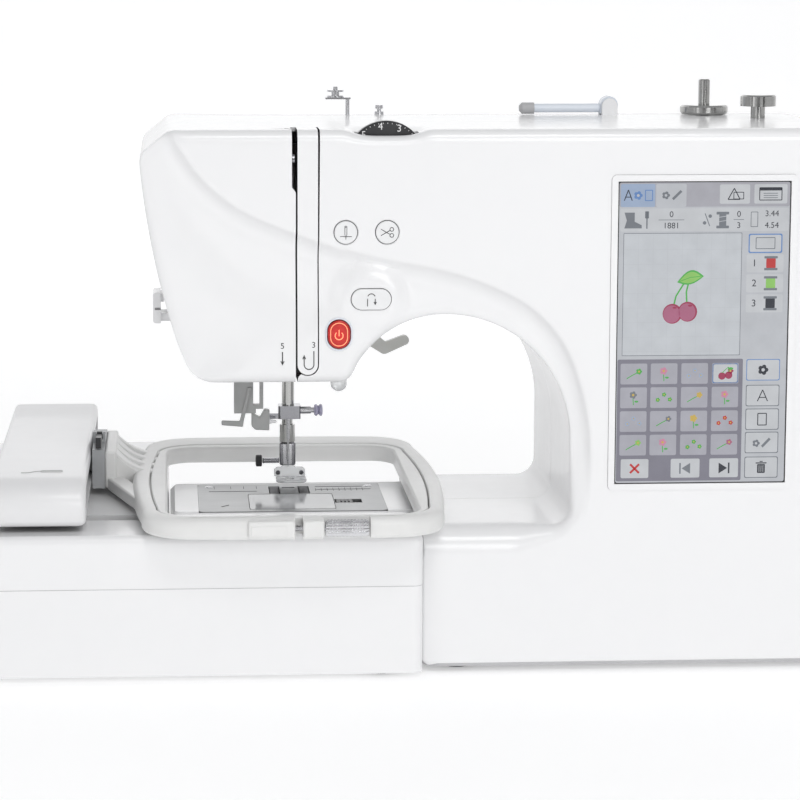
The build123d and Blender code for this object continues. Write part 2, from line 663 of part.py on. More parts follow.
with BuildPart() as winder_slide:
    block((winder_x - 8, winder_x + 8), (winder_y - 7, winder_y + 7), (262.0, 274.0))
    rod_z(3.5, winder_x, winder_y, (273.0, 277.7))
    rod_z(2.0 + fit, winder_x, winder_y, (261.0, 279.0), Mode.SUBTRACT)
winder_slide.part.label = "winder_slide"
export_step(winder_slide.part, "parts/winder_slide.step")

with BuildPart() as winder_spindle:
    rod_z(13.0, winder_x, winder_y, (278.0, 282.9))
    chamfer(winder_spindle.edges().filter_by(GeomType.CIRCLE), 1.0)
    rod_z(3.1, winder_x, winder_y, (282.0, 296.8))
    chamfer(winder_spindle.faces().sort_by(Axis.Z)[-1].edges(), 0.6)
    rod_z(2.0, winder_x, winder_y, (263.0, 279.0))
winder_spindle.part.label = "winder_spindle"
export_step(winder_spindle.part, "parts/winder_spindle.step")

stop_post = (197.0, -22.3)
with BuildPart() as winder_stop:
    rod_z(3.8, stop_post[0], stop_post[1], (top_z, 284.5))
    rod_z(9.4, stop_post[0], stop_post[1], (284.0, 290.0))
    chamfer(winder_stop.faces().sort_by(Axis.Z)[-1].edges(), 0.8)
winder_stop.part.label = "winder_stop"
export_step(winder_stop.part, "parts/winder_stop.step")

# ------------------------------------------------------------ side panel and feet
panel_x = (body_right - wall, body_right - 0.3)
switch_y = (-16.0, -2.0)
switch_z = (66.0, 88.0)
with BuildPart() as inlet_panel:
    block(panel_x, (-24.9, 24.9), (25.1, 94.9))
    block(grown(panel_x, 1), grown(switch_y, 0.5), grown(switch_z, 0.5), Mode.SUBTRACT)
    # Two-pole inlet, a data socket and the foot controller socket
    block((panel_x[0] - 14, panel_x[0] + 1), (-18.0, 10.0), (32.0, 56.0))
    block((panel_x[0] - 10, panel_x[1] + 1), (-14.0, 6.0), (37.0, 51.0), Mode.SUBTRACT)
    block((panel_x[0] - 0.5, panel_x[1] + 1), (8.0, 20.0), (72.0, 78.0), Mode.SUBTRACT)
    rod_x(3.5, (panel_x[0] - 0.5, panel_x[1] + 1), 17.0, 44.0, Mode.SUBTRACT)
    for pole_y in (-9.0, 1.0):
        rod_x(1.6, (panel_x[0] - 10.5, panel_x[0] - 1.5), pole_y, 44.0)
inlet_panel.part.label = "inlet_panel"
export_step(inlet_panel.part, "parts/inlet_panel.step")

with BuildPart() as power_switch:
    middle_y, width_y = span(switch_y)
    middle_z, height_z = span(switch_z)
    rocker_x = (panel_x[0] - 5, body_right + 0.4)
    block(rocker_x, grown(switch_y, -0.2), (middle_z - 8, middle_z + 8))
    fillet(power_switch.edges().filter_by(Axis.Y), 1.5)
power_switch.part.label = "power_switch"
export_step(power_switch.part, "parts/power_switch.step")

with BuildPart() as rubber_feet:
    for foot_x, foot_y in ((30.0, -88.0), (230.0, -88.0), (230.0, 22.0), (30.0, 22.0), (-100.0, -23.0)):
        rod_z(8.0, foot_x, foot_y, (0.0, foot_height))
rubber_feet.part.label = "rubber_feet"
export_step(rubber_feet.part, "parts/rubber_feet.step")

rear_screws = ((-90.0, 250.0), (60.0, 250.0), (225.0, 240.0), (225.0, 30.0), (110.0, 30.0), (-60.0, 185.0))
with BuildPart() as housing_screws:
    for screw_x, screw_z in rear_screws:
        rod_y(3.6, screw_x, (rear_y, rear_y + 1.6), screw_z)
        block(
            (screw_x - 2.4, screw_x + 2.4),
            (rear_y + 0.9, rear_y + 2),
            (screw_z - 0.4, screw_z + 0.4),
            Mode.SUBTRACT,
        )
housing_screws.part.label = "housing_screws"
export_step(housing_screws.part, "parts/housing_screws.step")


# ------------------------------------------------------------- embroidery unit
def unit_plan(z, inset=0.0):
    """L-shaped plan of the unit, round the front and the left of the free arm."""
    inner_x = arm_left - 0.6
    inner_y = arm_front_y - 0.6
    outer_corners = (
        (unit_left, unit_front_y),
        (unit_left, unit_rear_y),
        (inner_x, unit_rear_y),
        (unit_right, unit_front_y),
    )
    with BuildSketch(Plane.XY.offset(z)) as plan:
        with BuildLine():
            Polyline(
                (unit_left, unit_front_y),
                (unit_right, unit_front_y),
                (unit_right, inner_y),
                (inner_x, inner_y),
                (inner_x, unit_rear_y),
                (unit_left, unit_rear_y),
                close=True,
            )
        make_face()
        for corner, radius in zip(outer_corners, (14.0, 14.0, 10.0, 5.0)):
            fillet(plan.vertices().sort_by_distance(corner)[0], radius)
        if inset > 0:
            offset(amount=-inset, mode=Mode.REPLACE)
    return plan.sketch


with BuildPart() as unit_upper_case:
    extrude(unit_plan(unit_split_z), amount=bed_z - unit_split_z)
    fillet(unit_upper_case.faces().sort_by(Axis.Z)[-1].outer_wire().edges(), 4.0)
    extrude(unit_plan(unit_split_z, wall), amount=bed_z - unit_split_z - wall, mode=Mode.SUBTRACT)
    # Slot for the carriage foot
    block((-247.0, -121.0), (rail_y - 6, rail_y + 6), (bed_z - wall - 1, bed_z + 1), Mode.SUBTRACT)
unit_upper_case.part.label = "unit_upper_case"
export_step(unit_upper_case.part, "parts/unit_upper_case.step")

post_x = ((-264.0, -258.0), (-112.0, -106.0))
with BuildPart() as unit_lower_case:
    extrude(unit_plan(foot_height), amount=unit_split_z - foot_height)
    extrude(unit_plan(foot_height + wall, wall), amount=unit_split_z - foot_height, mode=Mode.SUBTRACT)
    for rail_post in post_x:
        block(rail_post, (rail_y - 6, rail_y + 6), (foot_height + wall - 1, rail_z + 6))
unit_lower_case.part.label = "unit_lower_case"
export_step(unit_lower_case.part, "parts/unit_lower_case.step")

with BuildPart() as unit_guide_rod:
    rod_x(rail_radius, (post_x[0][1], post_x[1][0]), rail_y, rail_z)
unit_guide_rod.part.label = "unit_guide_rod"
export_step(unit_guide_rod.part, "parts/unit_guide_rod.step")

with BuildPart() as unit_feet:
    for foot_x, foot_y in ((-260.0, -100.0), (-260.0, 126.0), (-134.0, 126.0), (-10.0, -100.0)):
        rod_z(7.0, foot_x, foot_y, (0.0, foot_height))
unit_feet.part.label = "unit_feet"
export_step(unit_feet.part, "parts/unit_feet.step")

with BuildPart() as carriage_cover:
    block(carriage_x, carriage_y, carriage_z)
    fillet(carriage_cover.edges().filter_by(Axis.Z), 6.0)
    fillet(carriage_cover.faces().sort_by(Axis.Z)[-1].outer_wire().edges(), 4.0)
    block(
        grown(carriage_x, -carriage_wall),
        grown(carriage_y, -carriage_wall),
        (carriage_z[0] - 1, carriage_z[1] - carriage_wall),
        Mode.SUBTRACT,
    )
    block((carriage_x[1] - 4, carriage_x[1] + 1), (-100.0, 118.0), (84.0, 96.0), Mode.SUBTRACT)
carriage_cover.part.label = "carriage_cover"
export_step(carriage_cover.part, "parts/carriage_cover.step")

with BuildPart() as carriage_base:
    base_x = grown(carriage_x, -carriage_wall)
    block(base_x, grown(carriage_y, -carriage_wall), (carriage_z[0], carriage_z[0] + 2.5))
    fillet(carriage_base.edges().filter_by(Axis.Z), 3.0)
    foot_block_x = (-199.0, -169.0)
    block(foot_block_x, (rail_y - 5.2, rail_y + 5.2), (rail_z - 6, carriage_z[0] + 1))
    rod_x(rail_radius + fit, grown(foot_block_x, 1), rail_y, rail_z, Mode.SUBTRACT)
carriage_base.part.label = "carriage_base"
export_step(carriage_base.part, "parts/carriage_base.step")

bracket_x = -152.0
bracket_y = (-16.0, 48.0)
securing_pivot = (8.0, 103.0)
with BuildPart() as frame_holder:
    block((-176.0, -164.0), (-8.0, 40.0), (84.5, 95.5))
    block((-165.0, -158.0), (-4.0, 36.0), (86.0, 94.0))
    block((-158.7, bracket_x), bracket_y, (79.0, 100.0))
    fillet(frame_holder.edges().filter_by(Axis.X).group_by(Axis.Y)[-1].sort_by(Axis.Z)[-1], 3.0)
    for ear_x in ((-158.6, -157.2), (-153.5, -152.1)):
        block(ear_x, (securing_pivot[0] - 3.5, securing_pivot[0] + 3.5), (99.0, 106.0))
    rod_x(1.5, (-158.0, -152.6), securing_pivot[0], securing_pivot[1])
frame_holder.part.label = "frame_holder"
export_step(frame_holder.part, "parts/frame_holder.step")

with BuildPart() as holder_lever:
    lever_x = (-156.8, -153.9)
    rod_x(2.7, lever_x, securing_pivot[0], securing_pivot[1])
    block(lever_x, (-14.0, securing_pivot[0]), (101.2, 104.6))
    block(lever_x, (-18.0, -13.0), (101.2, 107.0))
    rod_x(1.5 + fit, grown(lever_x, 1), securing_pivot[0], securing_pivot[1], Mode.SUBTRACT)
holder_lever.part.label = "holder_lever"
export_step(holder_lever.part, "parts/holder_lever.step")


# ------------------------------------------------------------------------ hoop
def hoop_outline(z):
    """Outer outline of the hoop: four gently bowed sides and round corners."""
    side_end = 0.93 * hoop_half_width
    end_length = 0.72 * hoop_half_length
    end_side = 0.60 * hoop_half_width
    side_length = 0.985 * hoop_half_length
    corner = (0.83 * hoop_half_width, 0.92 * hoop_half_length)
    with BuildSketch(Plane.XY.offset(z)) as outline:
        with BuildLine():
            for turn_x, turn_y in ((1, 1), (-1, -1)):

                def place(x, y):
                    return hoop_x + turn_x * x, hoop_y + turn_y * y

                ThreePointArc(place(side_end, -end_length), place(hoop_half_width, 0), place(side_end, end_length))
                ThreePointArc(place(side_end, end_length), place(*corner), place(end_side, side_length))
                ThreePointArc(place(end_side, side_length), place(0, hoop_half_length), place(-end_side, side_length))
                ThreePointArc(
                    place(-end_side, side_length), place(-corner[0], corner[1]), place(-side_end, end_length)
                )
        make_face()
    return outline.sketch


def hoop_opening(z, margin):
    """Rounded rectangle, margin outside the sewing opening."""
    middle_x, width = span(opening_x)
    middle_y, length = span(opening_y)
    with BuildSketch(Plane.XY.offset(z)) as outline:
        with Locations((middle_x, middle_y)):
            RectangleRounded(width + 2 * margin, length + 2 * margin, opening_round + margin)
    return outline.sketch


hoop_height = hoop_z[1] - hoop_z[0]
lug_gap_x = (-55.4, -51.5)
with BuildPart() as hoop_outer:
    extrude(hoop_outline(hoop_z[0]), amount=hoop_height)
    fillet(hoop_outer.edges().group_by(Axis.Z)[-1], 2.0)
    # Bracket that hooks on the frame holder: a web, an end block and three ribs
    with BuildSketch(Plane.XY.offset(hoop_z[0] + 0.5)) as web:
        with BuildLine():
            Polyline(
                (bracket_x, bracket_y[0]),
                (bracket_x, bracket_y[1]),
                (-130.0, 68.0),
                (-120.0, 40.0),
                (-120.0, -100.0),
                (-127.0, -98.0),
                close=True,
            )
        make_face()
    extrude(amount=6.5)
    block((bracket_x, -145.5), bracket_y, (79.0, 99.0))
    for rib_y in (-10.0, 8.0, 26.0, 44.0):
        with BuildSketch(Plane.XZ.offset(-rib_y)) as rib:
            with BuildLine():
                Line((-146.0, 80.0), (-146.0, 98.0))
                RadiusArc((-146.0, 98.0), (-131.0, 87.0), -18.0)
                Polyline((-131.0, 87.0), (-131.0, 80.0), (-146.0, 80.0))
            make_face()
        extrude(amount=-3.0)
    extrude(hoop_opening(hoop_z[0] - 1, inner_width + 0.15), amount=hoop_height + 12, mode=Mode.SUBTRACT)
    # Lugs of the clamping screw, the split between them and the knob's recess
    block((-78.6, -40.9), (-140.5, -132.5), (79.0, 86.6))
    block((-41.6, -17.9), (-143.0, -133.0), (hoop_z[0] - 1, 88.5), Mode.SUBTRACT)
    block(lug_gap_x, (-145.0, -130.0), (hoop_z[0] - 1, 90.0), Mode.SUBTRACT)
    rod_x(1.8, (-74.0, -40.0), hoop_screw_y, hoop_screw_z, Mode.SUBTRACT)
hoop_outer.part.label = "hoop_outer"
export_step(hoop_outer.part, "parts/hoop_outer.step")

with BuildPart() as hoop_inner:
    extrude(hoop_opening(hoop_z[0] + 1, inner_width), amount=hoop_height - 2)
    fillet(hoop_inner.edges().group_by(Axis.Z)[-1], 1.5)
    extrude(hoop_opening(hoop_z[0], 0), amount=hoop_height, mode=Mode.SUBTRACT)
hoop_inner.part.label = "hoop_inner"
export_step(hoop_inner.part, "parts/hoop_inner.step")

with BuildPart() as hoop_screw:
    rod_x(hoop_screw_radius, (-40.4, -18.9), hoop_screw_y, hoop_screw_z)
    chamfer(hoop_screw.edges().filter_by(GeomType.CIRCLE), 0.7)
    rod_x(1.5, (-73.0, -40.0), hoop_screw_y, hoop_screw_z)
hoop_screw.part.label = "hoop_screw"
export_step(hoop_screw.part, "parts/hoop_screw.step")
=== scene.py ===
import math

import bmesh
import bpy
import numpy as np
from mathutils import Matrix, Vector
from mathutils.geometry import delaunay_2d_cdt


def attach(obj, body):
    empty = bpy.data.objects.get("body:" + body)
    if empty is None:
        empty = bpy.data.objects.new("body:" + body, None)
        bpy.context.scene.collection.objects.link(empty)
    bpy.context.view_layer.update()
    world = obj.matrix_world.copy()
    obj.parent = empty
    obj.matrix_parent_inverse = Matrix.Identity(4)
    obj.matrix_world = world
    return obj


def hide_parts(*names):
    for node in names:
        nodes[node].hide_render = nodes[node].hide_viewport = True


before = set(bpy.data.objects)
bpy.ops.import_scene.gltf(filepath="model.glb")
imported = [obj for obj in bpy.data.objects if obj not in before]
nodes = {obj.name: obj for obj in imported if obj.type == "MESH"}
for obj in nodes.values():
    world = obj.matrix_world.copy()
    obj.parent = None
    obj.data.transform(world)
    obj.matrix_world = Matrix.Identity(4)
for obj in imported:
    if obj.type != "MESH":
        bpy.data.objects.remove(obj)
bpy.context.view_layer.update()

MM = 0.001

# The machine faces -Y. Lengths are in millimetres up to the point where a mesh is made.


# --------------------------------------------------------------------------- materials
class Shader:
    """A Principled material whose colour, roughness and bump come from noise."""

    def __init__(self, name, colour, roughness, metallic=0.0):
        self.material = bpy.data.materials.new(name)
        self.material.use_nodes = True
        self.material.diffuse_color = (*colour, 1.0)
        self.tree = self.material.node_tree
        self.bsdf = self.tree.nodes["Principled BSDF"]
        self.colour, self.roughness = colour, roughness
        self.fill(self.bsdf, Base_Color=(*colour, 1.0), Roughness=roughness, Metallic=metallic)
        self.place = self.tree.nodes.new("ShaderNodeTexCoord").outputs["Object"]

    def feed(self, socket, value):
        if isinstance(value, bpy.types.NodeSocket):
            self.tree.links.new(value, socket)
        else:
            socket.default_value = value

    def fill(self, made, **inputs):
        """Sets or links a node's inputs. An underscore stands for the space in a socket's name."""
        for key, value in inputs.items():
            self.feed(made.inputs[key.replace("_", " ")], value)

    def node(self, kind, **inputs):
        made = self.tree.nodes.new(kind)
        self.fill(made, **inputs)
        return made

    def maths(self, kind, operation, *values):
        made = self.tree.nodes.new(kind)
        made.operation = operation
        for socket, value in zip(made.inputs, values):
            self.feed(socket, value)
        return made

    def blend(self, factor, colour, other, target):
        """Mixes two colours by the factor and feeds the mix to the shader's target input."""
        mix = self.tree.nodes.new("ShaderNodeMix")
        mix.data_type = "RGBA"
        mix.inputs["A"].default_value = (*colour, 1.0)
        mix.inputs["B"].default_value = (*other, 1.0)
        self.tree.links.new(factor, mix.inputs["Factor"])
        self.fill(self.bsdf, **{target: mix.outputs["Result"]})

    def noise(self, scale, stretch=(1.0, 1.0, 1.0)):
        placed = self.node("ShaderNodeMapping", Vector=self.place, Scale=stretch)
        made = self.node("ShaderNodeTexNoise", Vector=placed.outputs["Vector"], Scale=scale, Detail=3.0)
        return made.outputs["Fac"]

    def vary_colour(self, scale, other):
        """Mixes the base colour with another one in soft patches."""
        patch = self.node("ShaderNodeMapRange", Value=self.noise(scale), From_Min=0.25, From_Max=0.75)
        self.blend(patch.outputs["Result"], self.colour, other, "Base_Color")

    def vary_roughness(self, scale, spread, stretch=(1.0, 1.0, 1.0)):
        low, high = self.roughness - spread, self.roughness + spread
        varied = self.node("ShaderNodeMapRange", Value=self.noise(scale, stretch), To_Min=low, To_Max=high)
        self.fill(self.bsdf, Roughness=varied.outputs["Result"])

    def bump(self, scale, height, strength=1.0, stretch=(1.0, 1.0, 1.0)):
        made = self.node("ShaderNodeBump", Height=self.noise(scale, stretch), Strength=strength,
                         Distance=height)
        self.fill(self.bsdf, Normal=made.outputs["Normal"])


def plastic(name, colour, roughness=0.3, other=None, grain=0.00003, grain_scale=900.0, coat=0.0):
    """Moulded plastic: a fine moulding grain, slightly uneven gloss and tone."""
    shader = Shader(name, colour, roughness)
    shader.vary_colour(90.0, other or tuple(c * 0.975 for c in colour))
    shader.vary_roughness(120.0, 0.03)
    shader.bump(grain_scale, grain)
    shader.fill(shader.bsdf, Coat_Weight=coat, Coat_Roughness=0.08)
    return shader.material


def clear_plastic(name, colour, roughness, transmission):
    shader = Shader(name, colour, roughness)
    shader.vary_roughness(60.0, 0.03)
    shader.vary_colour(25.0, tuple(c * 0.93 for c in colour))
    shader.bump(300.0, 0.00002)
    shader.fill(shader.bsdf, Transmission_Weight=transmission, IOR=1.46)
    return shader.material


def metal(name, colour, roughness, stretch, scale=900.0, groove=0.00002):
    """Metal with its finishing marks drawn out along the short side of stretch."""
    shader = Shader(name, colour, roughness, metallic=1.0)
    shader.vary_colour(40.0, tuple(c * 0.86 for c in colour))
    shader.vary_roughness(scale, 0.07, stretch)
    shader.bump(scale, groove, 0.6, stretch)
    return shader.material


def lit(name, colour, strength=0.62):
    """A colour on the display: light through a fine pixel grid."""
    shader = Shader(name, tuple(c * 0.2 for c in colour), 0.25)
    bands = [shader.node("ShaderNodeTexWave", Vector=shader.place, Scale=900.0) for _ in range(2)]
    bands[1].bands_direction = "Z"
    grid = shader.maths("ShaderNodeMath", "MULTIPLY", *(band.outputs["Fac"] for band in bands))
    shader.blend(grid.outputs["Value"], colour, tuple(c * 0.88 for c in colour), "Emission_Color")
    shader.fill(shader.bsdf, Emission_Strength=strength)
    shader.vary_colour(120.0, tuple(c * 0.12 for c in colour))
    shader.vary_roughness(60.0, 0.05)
    return shader.material


white = (0.86, 0.86, 0.865)
shell_white = plastic("shell_white_plastic", white, 0.24, (0.852, 0.853, 0.86), 0.000012, 700.0, coat=0.25)
hoop_grey = plastic("hoop_grey_plastic", (0.80, 0.80, 0.79), 0.36, (0.77, 0.77, 0.76), 0.00003, 800.0)
hoop_light = plastic("hoop_light_plastic", (0.79, 0.79, 0.78), 0.36, (0.76, 0.76, 0.75), 0.00003, 800.0)
holder_grey = plastic("holder_grey_plastic", (0.42, 0.43, 0.44), 0.38, (0.36, 0.37, 0.38))
carriage_grey = plastic("carriage_grey_plastic", (0.82, 0.82, 0.825), 0.3, (0.80, 0.80, 0.807), coat=0.1)
base_grey = plastic("base_grey_plastic", (0.50, 0.50, 0.51), 0.5, (0.45, 0.45, 0.46))
lever_grey = plastic("lever_grey_plastic", (0.66, 0.66, 0.63), 0.34, (0.60, 0.60, 0.57))
threader_grey = plastic("threader_grey_plastic", (0.46, 0.465, 0.46), 0.32, (0.38, 0.385, 0.38))
black_plastic = plastic("black_plastic", (0.018, 0.018, 0.02), 0.33, (0.03, 0.03, 0.032))
# Dark for the gap round the bobbin cover, and painted shade on the walls of the thread path's slots and
# behind them
joint_and_shade_dark = plastic("joint_and_painted_shade_dark", (0.03, 0.03, 0.032), 0.6, (0.045, 0.045, 0.047))
mark_ink = plastic("grey_mark_ink", (0.03, 0.03, 0.033), 0.5, (0.05, 0.05, 0.053))
white_ink = plastic("white_mark_ink", (0.82, 0.82, 0.82), 0.45, (0.74, 0.74, 0.74))
button_white = plastic("button_white_plastic", (0.84, 0.845, 0.85), 0.22, (0.80, 0.805, 0.81), coat=0.3)
panel_grey = plastic("panel_grey_plastic", (0.14, 0.145, 0.15), 0.5, (0.11, 0.115, 0.12))
rubber = plastic("feet_rubber", (0.03, 0.03, 0.03), 0.75, (0.05, 0.05, 0.05), 0.00008, 500.0)
pin_white = plastic("pin_white_plastic", (0.78, 0.82, 0.88), 0.25, (0.72, 0.77, 0.84))
board_green = plastic("board_green_mask", (0.02, 0.14, 0.06), 0.35, (0.03, 0.2, 0.08))
lens_clear = clear_plastic("lens_clear_plastic", (0.93, 0.94, 0.95), 0.12, 0.6)
cover_clear = clear_plastic("cover_clear_plastic", (0.72, 0.73, 0.74), 0.1, 0.35)
bobbin_clear = clear_plastic("bobbin_clear_plastic", (0.9, 0.92, 0.94), 0.15, 0.7)
along_x, along_z = (0.03, 1.0, 1.0), (1.0, 1.0, 0.03)
chrome_bar = metal("chrome_bar", (0.52, 0.52, 0.51), 0.16, along_z)
chrome_screw = metal("chrome_screw", (0.74, 0.74, 0.76), 0.2, along_x, groove=0.00004)
plate_steel = metal("brushed_plate_steel", (0.40, 0.405, 0.41), 0.36, along_x)
# Dark chrome for the needle clamp and the foot; on the take-up lever it is painted shade, where the lever
# stands in the slot's shade
dim_chrome_and_shade = metal("dim_chrome_and_painted_shade", (0.34, 0.34, 0.36), 0.12, along_z)
knob_lilac = clear_plastic("knob_lilac_plastic", (0.62, 0.60, 0.78), 0.15, 0.3)
foot_steel = metal("pressed_foot_steel", (0.70, 0.70, 0.72), 0.2, along_z, 500.0)
screw_steel = metal("turned_steel", (0.58, 0.58, 0.60), 0.28, along_x)
dark_steel = metal("dark_hook_steel", (0.22, 0.22, 0.23), 0.4, along_z)
cast_metal = metal("cast_frame_metal", (0.5, 0.51, 0.52), 0.55, (1.0, 1.0, 1.0), 250.0, 0.0001)
bronze = metal("sintered_bronze", (0.55, 0.36, 0.16), 0.45, (1.0, 1.0, 1.0), 600.0)


def red_lamp():
    """Translucent red, lit from inside and brightest in its middle."""
    shader = Shader("red_lamp_plastic", (0.36, 0.01, 0.01), 0.16)
    shader.vary_colour(300.0, (0.5, 0.02, 0.015))
    shader.vary_roughness(60.0, 0.05)
    shader.bump(400.0, 0.00003)
    centre = shader.node("ShaderNodeMapping", Vector=shader.place, Location=(0.0318, 0.0, -0.1749))
    flat = shader.maths("ShaderNodeVectorMath", "MULTIPLY", centre.outputs["Vector"], (1.0, 0.0, 1.0))
    away = shader.maths("ShaderNodeVectorMath", "LENGTH", flat.outputs["Vector"])
    glow = shader.node("ShaderNodeMapRange", Value=away.outputs["Value"], From_Min=0.0, From_Max=0.007,
                       To_Min=0.42, To_Max=0.02)
    shader.fill(shader.bsdf, Emission_Color=(0.75, 0.02, 0.012, 1.0),
                Emission_Strength=glow.outputs["Result"])
    return shader.material


red_button = red_lamp()
red_glow = lit("orange_glow", (1.0, 0.35, 0.18), 1.6)

node_materials = {
    shell_white: "rear_cover free_arm_cover handwheel thread_cutter display_bezel unit_upper_case "
                 "unit_lower_case",
    carriage_grey: "carriage_cover",
    base_grey: "bottom_cover carriage_base spool_cap winder_slide",
    hoop_light: "hoop_outer",
    hoop_grey: "hoop_inner",
    holder_grey: "frame_holder",
    lever_grey: "presser_lever",
    threader_grey: "needle_threader",
    black_plastic: "holder_lever bobbin_cover_latch power_switch foot_screw tension_dial touch_screen",
    button_white: "needle_position_button thread_cutter_button reverse_button",
    red_button: "start_stop_button",
    panel_grey: "inlet_panel",
    rubber: "rubber_feet unit_feet drive_belt",
    pin_white: "spool_pin",
    board_green: "control_board",
    lens_clear: "lamp_lens",
    cover_clear: "bobbin_cover",
    bobbin_clear: "bobbin",
    chrome_bar: "presser_bar needle_bar winder_spindle winder_stop",
    chrome_screw: "hoop_screw needle_clamp_screw upper_thread_guide pretension_guide",
    # The take-up lever gets this dark chrome as painted shade, for the slot it stands in
    dim_chrome_and_shade: "needle_clamp take_up_lever",
    plate_steel: "needle_plate",
    foot_steel: "embroidery_foot",
    screw_steel: "housing_screws unit_guide_rod main_shaft needle",
    dark_steel: "rotary_hook feed_dogs motor_pulley main_motor",
    cast_metal: "main_frame",
    bronze: "shaft_bushes",
}
for material, names in node_materials.items():
    for name in names.split():
        mesh = nodes[name].data
        mesh.materials.clear()
        mesh.materials.append(material)


# ------------------------------------------------------------------------------ helpers
def in_scene(name, data):
    obj = bpy.data.objects.new(name, data)
    bpy.context.scene.collection.objects.link(obj)
    return obj


def link(name, data, body, material=None):
    """A piece of the object that rides on a body."""
    if material is not None:
        data.materials.append(material)
    obj = in_scene(name, data)
    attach(obj, body)
    return obj


def mesh_of(name, points, faces, checked=False, merged=True):
    """A mesh in metres from points in millimetres, with its faces turned outwards."""
    mesh = bpy.data.meshes.new(name)
    mesh.from_pydata([tuple(c * MM for c in p) for p in points], [], faces)
    if checked:
        mesh.validate()
    bm = bmesh.new()
    bm.from_mesh(mesh)
    if merged:
        bmesh.ops.remove_doubles(bm, verts=bm.verts, dist=1e-6)
    bmesh.ops.recalc_face_normals(bm, faces=bm.faces)
    bm.to_mesh(mesh)
    bm.free()
    return mesh


def smooth(mesh, sharp=180.0):
    """Smooth shading up to the sharp angle."""
    for polygon in mesh.polygons:
        polygon.use_smooth = True
    if sharp < 180.0:
        mesh.set_sharp_from_angle(angle=math.radians(sharp))


def mesh_piece(name, points, faces, body, material, sharp=35.0):
    mesh = mesh_of(name, points, faces, checked=True)
    smooth(mesh, sharp)
    return link(name, mesh, body, material)


def lifted(outline, axis, place):
    """A flat outline in space: (x, z) where the axis is y, (x, y) where it is z, (y, z) where it is x."""
    return [{"x": (place, a, b), "y": (a, place, b), "z": (a, b, place)}[axis] for a, b in outline]


def slab(outline, axis, low, high):
    """Points and faces of a straight solid with the outline."""
    n = len(outline)
    faces = [tuple(range(n)), tuple(range(2 * n - 1, n - 1, -1))]
    faces += [(i, (i + 1) % n, n + (i + 1) % n, n + i) for i in range(n)]
    return lifted(outline, axis, low) + lifted(outline, axis, high), faces


def extruded(name, outline, low, high, body, material, bevel=0.0, axis="y"):
    piece = mesh_piece(name, *slab(outline, axis, low, high), body, material)
    if bevel:
        add_bevel(piece, bevel)
    return piece


def add_bevel(piece, width, segments=2, angle=40.0):
    modifier = piece.modifiers.new("edge_round", "BEVEL")
    modifier.width = width * MM
    modifier.segments = segments
    modifier.angle_limit = math.radians(angle)
    modifier.limit_method = "ANGLE"


def rounded_box(x, z, radius, steps=5):
    """Outline in (x, z) of a rectangle with round corners."""
    radius = min(radius, (x[1] - x[0]) / 2 - 0.01, (z[1] - z[0]) / 2 - 0.01)
    outline = []
    corners = (
        (x[1] - radius, z[1] - radius, 0),
        (x[0] + radius, z[1] - radius, 90),
        (x[0] + radius, z[0] + radius, 180),
        (x[1] - radius, z[0] + radius, 270),
    )
    for cx, cz, start in corners:
        for step in range(steps + 1):
            turn = math.radians(start + 90 * step / steps)
            outline.append((cx + radius * math.cos(turn), cz + radius * math.sin(turn)))
    return outline


def circle(cx, cz, radius, steps=28):
    turns = [2 * math.pi * i / steps for i in range(steps)]
    return [(cx + radius * math.cos(t), cz + radius * math.sin(t)) for t in turns]


def line_piece(name, strokes, width, body, material):
    """Thin round lines through 3-D points in millimetres."""
    curve = bpy.data.curves.new(name, "CURVE")
    curve.dimensions = "3D"
    curve.bevel_depth = width / 2 * MM
    curve.bevel_resolution = 2
    curve.use_fill_caps = True
    for stroke in strokes:
        spline = curve.splines.new("POLY")
        spline.points.add(len(stroke) - 1)
        for point, place in zip(spline.points, stroke):
            point.co = (*(c * MM for c in place), 1.0)
    return link(name, curve, body, material)


def on_plane(y, *strokes):
    return [lifted(stroke, "y", y) for stroke in strokes]


def arc(cx, cz, radius, start, end, steps=14):
    turns = [math.radians(start + (end - start) * i / steps) for i in range(steps + 1)]
    return [(cx + radius * math.cos(t), cz + radius * math.sin(t)) for t in turns]


def numeral(name, text, centre, height, body, material):
    """A printed number, upright and facing -Y, centred on a point in millimetres."""
    curve = bpy.data.curves.new(name + "_text", "FONT")
    curve.body = text
    curve.align_x = curve.align_y = "CENTER"
    curve.size = height * 1.4 * MM
    curve.extrude = 0.03 * MM
    source = in_scene(name + "_text", curve)
    bpy.context.view_layer.update()
    mesh = bpy.data.meshes.new_from_object(source.evaluated_get(bpy.context.evaluated_depsgraph_get()))
    bpy.data.objects.remove(source)
    bpy.data.curves.remove(curve)
    x, y, z = centre
    for vertex in mesh.vertices:
        u, v, w = vertex.co
        vertex.co = (x * MM + u, y * MM - w, z * MM + v)
    mesh.materials.clear()
    return link(name, mesh, body, material)


# -------------------------------------------------------------------- front cover shell
front_y, split_y = -105.5, -33.5
top_z, bed_z, base_z = 277.5, 75.0, 3.2
head_left, base_left, body_right = -131.6, 11.0, 249.5
throat_right, arch_x, arch_top_z, arch_radius = 86.5, 22.0, 184.0, 64.5
strip_x, strip_bottom_z, strip_gap = (-52.6, -42.4), 154.35, 0.6

crease_line = (
    (-119.0, 281.0), (-116.4, 277.0), (-109.4, 265.6), (-100.1, 253.2), (-86.8, 241.6), (-75.2, 234.6),
    (-63.5, 229.5), (-52.6, 225.3), (-42.5, 221.4), (-31.1, 218.1), (-18.4, 215.0), (-0.2, 211.0),
    (20.0, 207.0), (40.5, 200.6), (61.1, 190.6), (74.7, 179.0), (84.5, 164.6), (90.9, 147.3), (94.8, 129.7),
    (96.1, 113.6), (95.8, 92.0), (94.0, 78.0),
)
fold_line = (
    (-128.5, 266.0), (-126.5, 257.9), (-121.8, 244.7), (-114.0, 229.1), (-106.3, 217.5), (-96.2, 205.8),
    (-86.9, 194.2), (-76.7, 184.2), (-66.0, 175.0),
)
